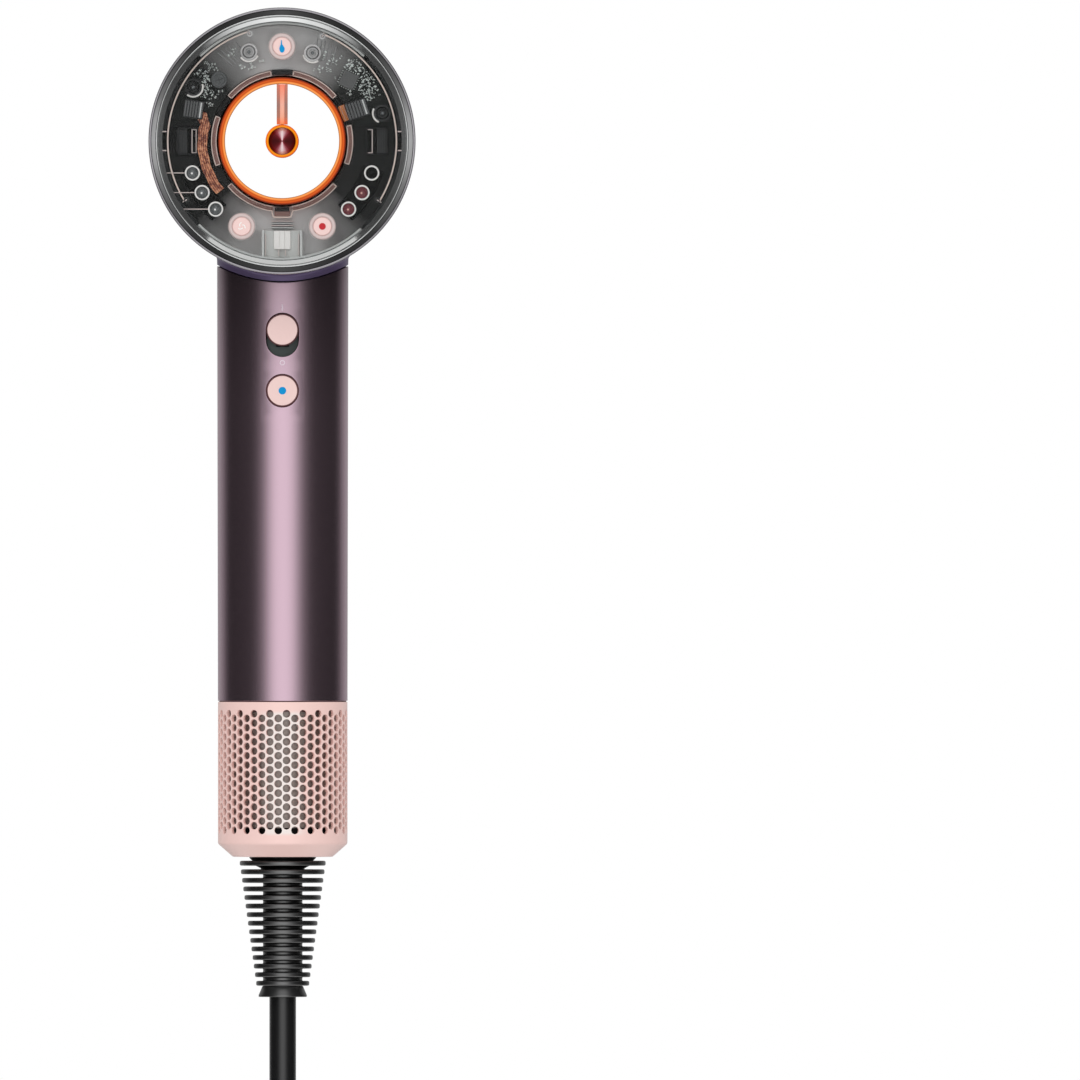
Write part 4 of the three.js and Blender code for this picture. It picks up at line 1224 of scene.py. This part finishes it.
def rear_buttons():
    """Three caps in the cover, each with a clear ring, a pink disc and its mark."""
    face = REAR_Y + 0.1
    for name, angle in BUTTONS:
        x, z = centre = polar(BUTTON_RING, angle)
        ring = lathe([
            (2.75, face + 0.25, 0.15), (3.0, face + 0.02, 0.2), (3.6, face, 0.3), (BUTTON_R, face + 0.5, 0.3),
            (BUTTON_R, face + 4.3, 0.2), (2.75, face + 4.3, 0.2),
        ], 72, centre=centre)
        disc = lathe([
            (0, face + 0.2), (2.45, face + 0.2, 0.2), (2.75, face + 0.5, 0.1), (2.75, face + 3, 0.1),
            (1.6, face + 3), (1.6, face + 6), (0, face + 6),
        ], 72, 0.1, centre=centre)
        parts = [(ring, "cap_ring"), (disc, "pink_disc")]
        if name == "temperature":
            parts.append((prism(icon_drop(x, z), face + 0.08, face + 0.5, 0.05), "blue"))
        elif name == "mode":
            dot = [(0, face + 0.06), (0.95, face + 0.06), (1.05, face + 0.5), (0, face + 0.5)]
            parts.append((lathe(dot, 40, 0.1, centre=centre), "red"))
        else:
            for k in range(3):
                swirl = [polar(1.15 * (1 - 0.08 * i), 90 + 120 * k + 12 * i) for i in range(9)]
                parts.append((bead([(x + dx, face + 0.16, z + dz) for dx, dz in swirl], 0.16, 6), "white"))
        build(f"{name}_cap", "pink_plastic", parts, [f"{name}_button"], body=name)


def indicator_lights():
    """Three light heads each side. Those on the left have leader lines out to the rim."""
    front = REAR_Y + 2.4
    first, last = LIGHT_ANGLES[0] - 3, LIGHT_ANGLES[2] + 3
    for side, shades in (("left", ("lamp",) * 3), ("right", ("pit", "blush", "blush"))):
        left = side == "left"
        parts = []
        for below, shade in zip(LIGHT_ANGLES, shades):
            x, z = centre = polar(LIGHT_RING, 180 + below if left else -below)
            parts.append((hoop(1.74, LIGHT_R, front, BOARD_Y, 56, 0.14, centre=centre), "white"))
            dome = [(0, front + 0.5)]
            for a in (0.3, 0.6, 0.9, 1.2, 1.5):
                dome.append((1.1 * math.sin(a), front + 0.5 + 0.55 * (1 - math.cos(a))))
            dome += [(1.64, front + 1.2), (1.64, BOARD_Y), (0, BOARD_Y)]
            parts.append((lathe(dome, 48, 0.05, 2, centre=centre), shade))
            # Painted glint: a small pale dot off the centre of each lit lamp's dome.
            if shade != "pit":
                painted_glint = [(0, front + 0.42), (0.24, front + 0.44), (0.34, front + 0.62), (0, front + 0.62)]
                parts.append((turned(painted_glint, 24, centre=(x - 0.15, z - 0.12)), "white" if left else "salmon"))
            if left:
                rim_x = -math.sqrt(36.6**2 - z * z)
                length = x - LIGHT_R - rim_x
                middle = rim_x + length / 2
                parts.append(block(middle, z, length, 0.27, front - 0.1, front + 0.3, 0.07, "frost"))
        sweep = (180 + first, 180 + last) if left else (-last, -first)
        # Painted shade: a near-black pocket round the lamps.
        parts.append(arc_bar(LIGHT_RING - 3.1, LIGHT_RING + 3.1, *sweep, BOARD_Y - 0.2, PANEL_Y, 0.3, "pit"))
        build(f"indicators_{side}", "light_guide", parts, [f"light_pipe_{side}"])


def sensor():
    """The small pod in the middle of the bore, on its strut."""
    pod = lathe([
        (0, -30.6), (3.9, -30.6), (3.9, -32.5, 0.1), (POD_R, -32.5, 0.2), (POD_R, -24, 3),
        (3.2, -18.5, 1.5), (0, -17),
    ], 96, steps=6)
    build("pod_casing", "dark_plastic", [(pod, "dark")], ["sensor_pod"])
    ring = [(3.9, -32.7), (3.9, -33.8, 0.3), (4.35, -34.0, 0.2), (POD_R, -33.7, 0.3), (POD_R, -32.7)]
    build("pod_ring", "glowing_guide", [(lathe(ring, 96, 0.1), "pod_glow")], ["pod_glow_ring"])
    cone = [(0, -33.2), (0.7, -33.2, 0.2), (3.85, -32.2, 0.15), (3.85, -30.8), (0, -30.8)]
    parts = [(lathe(cone, 96, 0.1, 5), "cone")]
    for r in (1.3, 2.0, 2.7):
        lift = 0.48 * (r - 1)
        ridge = [(r, -32.86 + lift), (r + 0.22, -32.8 + lift), (r + 0.22, -31), (r, -31)]
        parts.append((lathe(ridge, 72, 0.05, 2), "cone"))
    build("pod_cone", "sensor_metal", parts, ["sensor_cone"])
    parts = [block(x, 10.65, 0.85, 11.6, -31, -25.6, 0.2, "strut_side", corner=0.05) for x in (-1.15, 1.15)]
    parts.append(block(0, 10.65, 1.4, 11.6, -30.7, -26, 0.15, "strut_core"))
    build("pod_strut", "mauve_metal", parts, ["sensor_strut"])


def front_outlet():
    """The metal ring in the front slot, with short webs."""
    ring = [(24.4, 55.3), (26.9, 55.3), (26.9, 58.3), (25.4, 58.3, 0.6), (24.4, 57.2, 0.5)]
    parts = [(lathe(ring, 192), "steel")]
    for turn in range(30, 360, 60):
        parts.append(block(*polar(22.9, turn), 3.4, 0.9, 55.6, 57.4, 0.2, "steel", turn))
    build("outlet_grille", "steel", parts, ["outlet_ring"])


# ---------------------------------------------------------------- handle
def tube_radius(z):
    t = (z - TUBE_FOOT) / (TUBE_TOP_Z - TUBE_FOOT)
    return TUBE_FOOT_R + (TUBE_TOP_R - TUBE_FOOT_R) * t


def on_tube(turn, z):
    """A point on the tube's outside: turn is the angle from -Y towards +X."""
    radius = tube_radius(z)
    return radius * math.sin(turn), -radius * math.cos(turn), z


def stadium_reach(angle, radius, half):
    """Distance from a stadium's centre to its edge along an angle, half being half its straight length."""
    c, s = math.cos(angle), math.sin(angle)
    if abs(c) > 1e-9 and abs(s / c) * radius <= half:
        return radius / abs(c)
    return half * abs(s) + math.sqrt(max(0.0, radius**2 - (half * c) ** 2))


def grip_tube():
    """The handle's tube, with a saddle-shaped top and the two control holes."""
    columns = 192
    patch = 10  # columns either side of the middle that the holes' patches take
    seam = SEAM_R + SEAM_GAP / 2
    rows = [TUBE_FOOT + 2 * i for i in range(60)]
    spans = []
    for middle, half in ((SLIDER_Z - SLIDER_TRAVEL / 2, SLIDER_TRAVEL / 2 + 0.1), (COOL_Z, 0.0)):
        room = CONTROL_HOLE_R + half + 1.2
        low = max(i for i, z in enumerate(rows) if z < middle - room)
        high = min(i for i, z in enumerate(rows) if z > middle + room)
        spans.append((middle, half, low, high))
    verts, faces, grid = [], [], {}

    def vertex(turn, z):
        verts.append(on_tube(turn, z))
        return len(verts) - 1

    for j in range(columns):
        turn = TAU * j / columns
        top_z = HEAD_Z - math.sqrt(seam**2 - (TUBE_TOP_R * math.sin(turn)) ** 2)
        levels = rows + [rows[-1] + (top_z - rows[-1]) * k / 8 for k in range(1, 9)]
        for i, z in enumerate(levels):
            grid[i, j] = vertex(turn, z)
    for i in range(len(rows) + 7):
        for j in range(columns):
            k = (j + 1) % columns
            near = min(j + 0.5, columns - j - 0.5) < patch
            if near and any(low <= i < high for _, _, low, high in spans):
                continue
            faces.append((grid[i, j], grid[i, k], grid[i + 1, k], grid[i + 1, j]))
    for middle, half, low, high in spans:
        border = [(low, j) for j in range(-patch, patch)] + [(i, patch) for i in range(low, high)]
        border += [(high, j) for j in range(patch, -patch, -1)] + [(i, -patch) for i in range(high, low, -1)]
        outer = [grid[i, j % columns] for i, j in border]
        for share in (0.45, 0.75, 0.93, 1.0):
            ring = []
            for i, j in border:
                edge_x = tube_radius(rows[i]) * math.sin(TAU * j / columns)
                edge_z = rows[i] - middle
                angle = math.atan2(edge_z, edge_x)
                full = math.hypot(edge_x, edge_z)
                far = full + (stadium_reach(angle, CONTROL_HOLE_R, half) - full) * share
                z = middle + far * math.sin(angle)
                ring.append(vertex(math.asin(far * math.cos(angle) / tube_radius(z)), z))
            faces += between(outer, ring)
            outer = ring
    tube = build("grip_tube", "mauve_metal", [((verts, faces), "mauve")], ["handle_tube"], CENTRE, even=False)
    thicken(tube, TUBE_T, 0.32)


def thicken(piece, thickness, edge, steps=3, rim_slot=0):
    """Gives an open sheet its wall and rounds the wall's edges."""
    flip = sum(f.center.xy.dot(f.normal.xy) for f in piece.data.polygons) < 0
    if flip:
        piece.data.flip_normals()
    wall = piece.modifiers.new("wall", "SOLIDIFY")
    wall.thickness = thickness * MM
    wall.offset = -1
    wall.use_even_offset = True
    wall.material_offset_rim = rim_slot
    lip = piece.modifiers.new("lip", "BEVEL")
    lip.width = edge * MM
    lip.segments = steps
    lip.limit_method = "ANGLE"
    lip.angle_limit = math.radians(50)
    applied(piece, 40)


def controls():
    """The slider and the cool button in the handle, and the marks beside them."""
    for node, name, z, stem_y in (
        ("power_slider", "slider", SLIDER_Z, -12.8), ("cool_button", "cool", COOL_Z, -13.4),
    ):
        face = extent(node)[0].y
        cap = lathe([
            (0, face + 0.03), (3.0, face), (CAP_R, face, 0.3), (CAP_R, -16),
            (1.3, -16), (1.3, stem_y), (0, stem_y),
        ], 96, 0.1, 5, centre=(0, z))
        # Painted shade: a dark red skirt, raised so it is lit, stands in for the shadowed gap round the cap.
        skirt = hoop(CAP_R - 0.1, SKIRT_R, -19.1, -16.4, 96, 0.08, centre=(0, z))
        parts = [(cap, "pink_disc"), (skirt, "red_gap")]
        if name == "cool":
            dot = [(0, face - 0.03), (1.1, face - 0.03), (1.2, face + 0.3), (0, face + 0.3)]
            parts.append((lathe(dot, 48, 0.1, 3, centre=(0, z)), "blue"))
        build(f"{name}_cap", "pink_plastic", parts, [node], CENTRE, body=name)

    on_z, off_z, back = 61.95, 46, -18.7
    bar = block(0, on_z, 0.4, 1.8, -tube_radius(on_z) - 0.05, back, 0.03, "mark")
    build("mark_on", "pink_plastic", [bar], origin=CENTRE)
    ring = hoop(0.48, 0.76, -tube_radius(off_z) - 0.03, back, 48, 0.03, centre=(0, off_z))
    build("mark_off", "pink_plastic", [(ring, "mark")], origin=CENTRE)


# ---------------------------------------------------------------- filter
CAGE_COLUMNS = 48
HOLES = 13
HOLE_R = 1.14
HOLE_PITCH = 2.7
FIRST_HOLE_Z = -55.6


def filter_basket():
    """The perforated cage: staggered columns of round holes, a chamfer and a turned-in foot."""
    quarter = HOLE_PITCH / 4
    around = 4 * CAGE_COLUMNS
    step = TAU / around
    top = FIRST_HOLE_Z + HOLE_PITCH / 2
    verts, faces, known = [], [], {}

    def point(turn, z, radius=CAGE_R):
        verts.append((radius * math.sin(turn), -radius * math.cos(turn), z))
        return len(verts) - 1

    def vertex(column, row):
        """A shared vertex of the cells' borders, in quarter pitches round the cage and down from the top."""
        key = (column % around, row)
        if key not in known:
            known[key] = point(key[0] * step, top - row * quarter)
        return known[key]

    for c in range(CAGE_COLUMNS):
        left = 4 * c
        first = 2 if c % 2 else 0
        for row in (0, 1) if first else (4 * HOLES, 4 * HOLES + 1):
            for q in range(left, left + 4):
                faces.append((vertex(q, row), vertex(q + 1, row), vertex(q + 1, row + 1), vertex(q, row + 1)))
        for row in range(first, first + 4 * HOLES, 4):
            border = [(left + q, row) for q in range(4)] + [(left + 4, row + q) for q in range(4)]
            border += [(left + 4 - q, row + 4) for q in range(4)] + [(left, row + 4 - q) for q in range(4)]
            outer = [vertex(*b) for b in border]
            inner = []
            for column, r in border:
                angle = math.atan2(-(r - row - 2), column - left - 2)
                inner.append(point((left + 2) * step + HOLE_R * math.cos(angle) / CAGE_R,
                                   top - (row + 2) * quarter + HOLE_R * math.sin(angle)))
            faces += between(outer, inner)
    bottom_row = 4 * HOLES + 2
    above = [(CAGE_R, top + (CAGE_TOP - top) * k / 3) for k in (1, 2, 3)]
    below = soften([
        (CAGE_R, top - bottom_row * quarter), (CAGE_R, CAGE_CHAMFER_Z, 1.1),
        (CAGE_FOOT_R + 0.15, CAGE_FOOT + 0.02, 0.8), (CAGE_MOUTH_R, CAGE_FOOT),
    ], 0.5, 5, False)[1:]
    for start_row, profile in ((0, above), (bottom_row, below)):
        previous = [vertex(q, start_row) for q in range(around)]
        for radius, z in profile:
            ring = [point(q * step, z, radius) for q in range(around)]
            faces += between(previous, ring)
            previous = ring
    parts = [((verts, faces), "cage")]
    basket = build("filter_basket", "pink_plastic", parts, ["filter_cage"], CENTRE, body="cage", even=False)
    basket.data.materials.append(M["cage_wall"])
    thicken(basket, CAGE_T, 0.12, steps=2, rim_slot=1)


def filter_inside():
    """The wire cloth behind the cage and the plate at the foot."""
    low, high = extent("filter_mesh")
    parts = [(hoop(16.15, 16.65, low.z, high.z, 192, 0, "Z"), "mesh")]
    for foot, top in ((low.z, low.z + 4.3), (high.z - 1.2, high.z)):
        parts.append((hoop(16.0, 16.9, foot, top, 128, 0.25, "Z"), "pit"))
    build("wire_cloth", "steel", parts, ["filter_mesh"], CENTRE)
    # Painted shade: the flange in the seam between tube and cage is dark red, for the shadowed line there.
    spigot = lathe([
        (16.85, -55), (17.4, -55), (17.4, -52.18), (18.4, -52.18), (18.4, -51.92), (17.4, -51.92),
        (17.4, -49), (16.85, -49),
    ], 160, 0.05, axis="Z")
    build("foot_spigot", "dark_plastic", [(spigot, "red_gap")], origin=CENTRE)
    plate = hoop(3.2, 12.4, -96.9, -95.1, 128, 0.3, "Z")
    build("foot_plate", "black_rubber", [(plate, "black")], ["end_plate"], CENTRE)


def cord_boot():
    """The ringed strain relief: a short neck, fifteen round flanges and a bell at the foot."""
    flanges, pitch, half = 15, 2.485, 0.7
    first_z, first_r, last_r = -98.96, 12.45, 7.7
    core = 5.7
    profile = [(0, CAGE_FOOT - 0.1), (9.9, CAGE_FOOT - 0.1, 0.2), (8.8, first_z + half, 0.1)]
    for i in range(flanges):
        z = first_z - i * pitch
        r = first_r + (last_r - first_r) * i / (flanges - 1)
        profile += [(r, z + half, 0.5), (r, z - half, 0.5)]
        here = core + (2.2 if i == 0 else 0)
        if i < flanges - 1:
            profile += [(here, z - half, 0.35), (core, z - pitch + half, 0.35)]
    foot = relief_low.z
    profile += [
        (core, z - half, 0.3), (core, -134.6, 0.3), (5.9, foot + 3.1, 0.8), (7.0, foot + 0.5, 0.5),
        (7.0, foot, 0.4), (4.2, foot, 0.2), (0, foot),
    ]
    boot = lathe(profile, 128, 0.2, axis="Z")
    return build("cord_boot", "black_rubber", [(boot, "black")], ["strain_relief"], CENTRE)


# ---------------------------------------------------------------- pieces inside
INNER_FINISHES = {
    "heater_former": "mica",
    "heater_coil": "zinc",
    "heater_sleeve": "mica",
    "thermal_cutout": "zinc",
    "switch_housing": "floor_green",
    "switch_block": "dark",
    "switch_board": "board",
    "intake_frame": "dark",
    "supply_lead": "cord",
    "motor_housing": "steel",
    "motor_mount": "black",
    "stator_core": "zinc",
    "stator_winding": "copper",
    "rotor_shaft": "steel",
    "bearing_lower": "steel",
    "bearing_upper": "steel",
    "impeller": "grey",
    "diffuser": "dark",
}


def dress_inner_pieces():
    for node, finish in INNER_FINISHES.items():
        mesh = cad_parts[node].data
        mesh.materials.clear()
        mesh.materials.append(M[finish])


def floor():
    """A round pale floor, below the plug."""
    top = cad_size[0].z / MM - 4
    verts, faces = lathe([(0, top), (520, top), (520, top - 6), (0, top - 6)], 96, 2, axis="Z")
    mesh = bpy.data.meshes.new("studio_floor")
    mesh.from_pydata([tuple(c * MM for c in v) for v in verts], [], faces)
    mesh.materials.append(M["paper"])
    piece = bpy.data.objects.new("studio_floor", mesh)
    bpy.context.scene.collection.objects.link(piece)


M = make_finishes()
camera()
cord = supply_cord()
plug_pieces = plug()
tie = cord_tie()
boot = cord_boot()
studio()
lamps()
floor()

head_casting()
clear_cover()
bore()
control_moulding()
guide_lines()
circuit_board()
board_components()
flex_cable()
rear_buttons()
indicator_lights()
sensor()
front_outlet()
grip_tube()
controls()
filter_basket()
filter_inside()
dress_inner_pieces()

bpy.context.scene.view_settings.view_transform = "Standard"
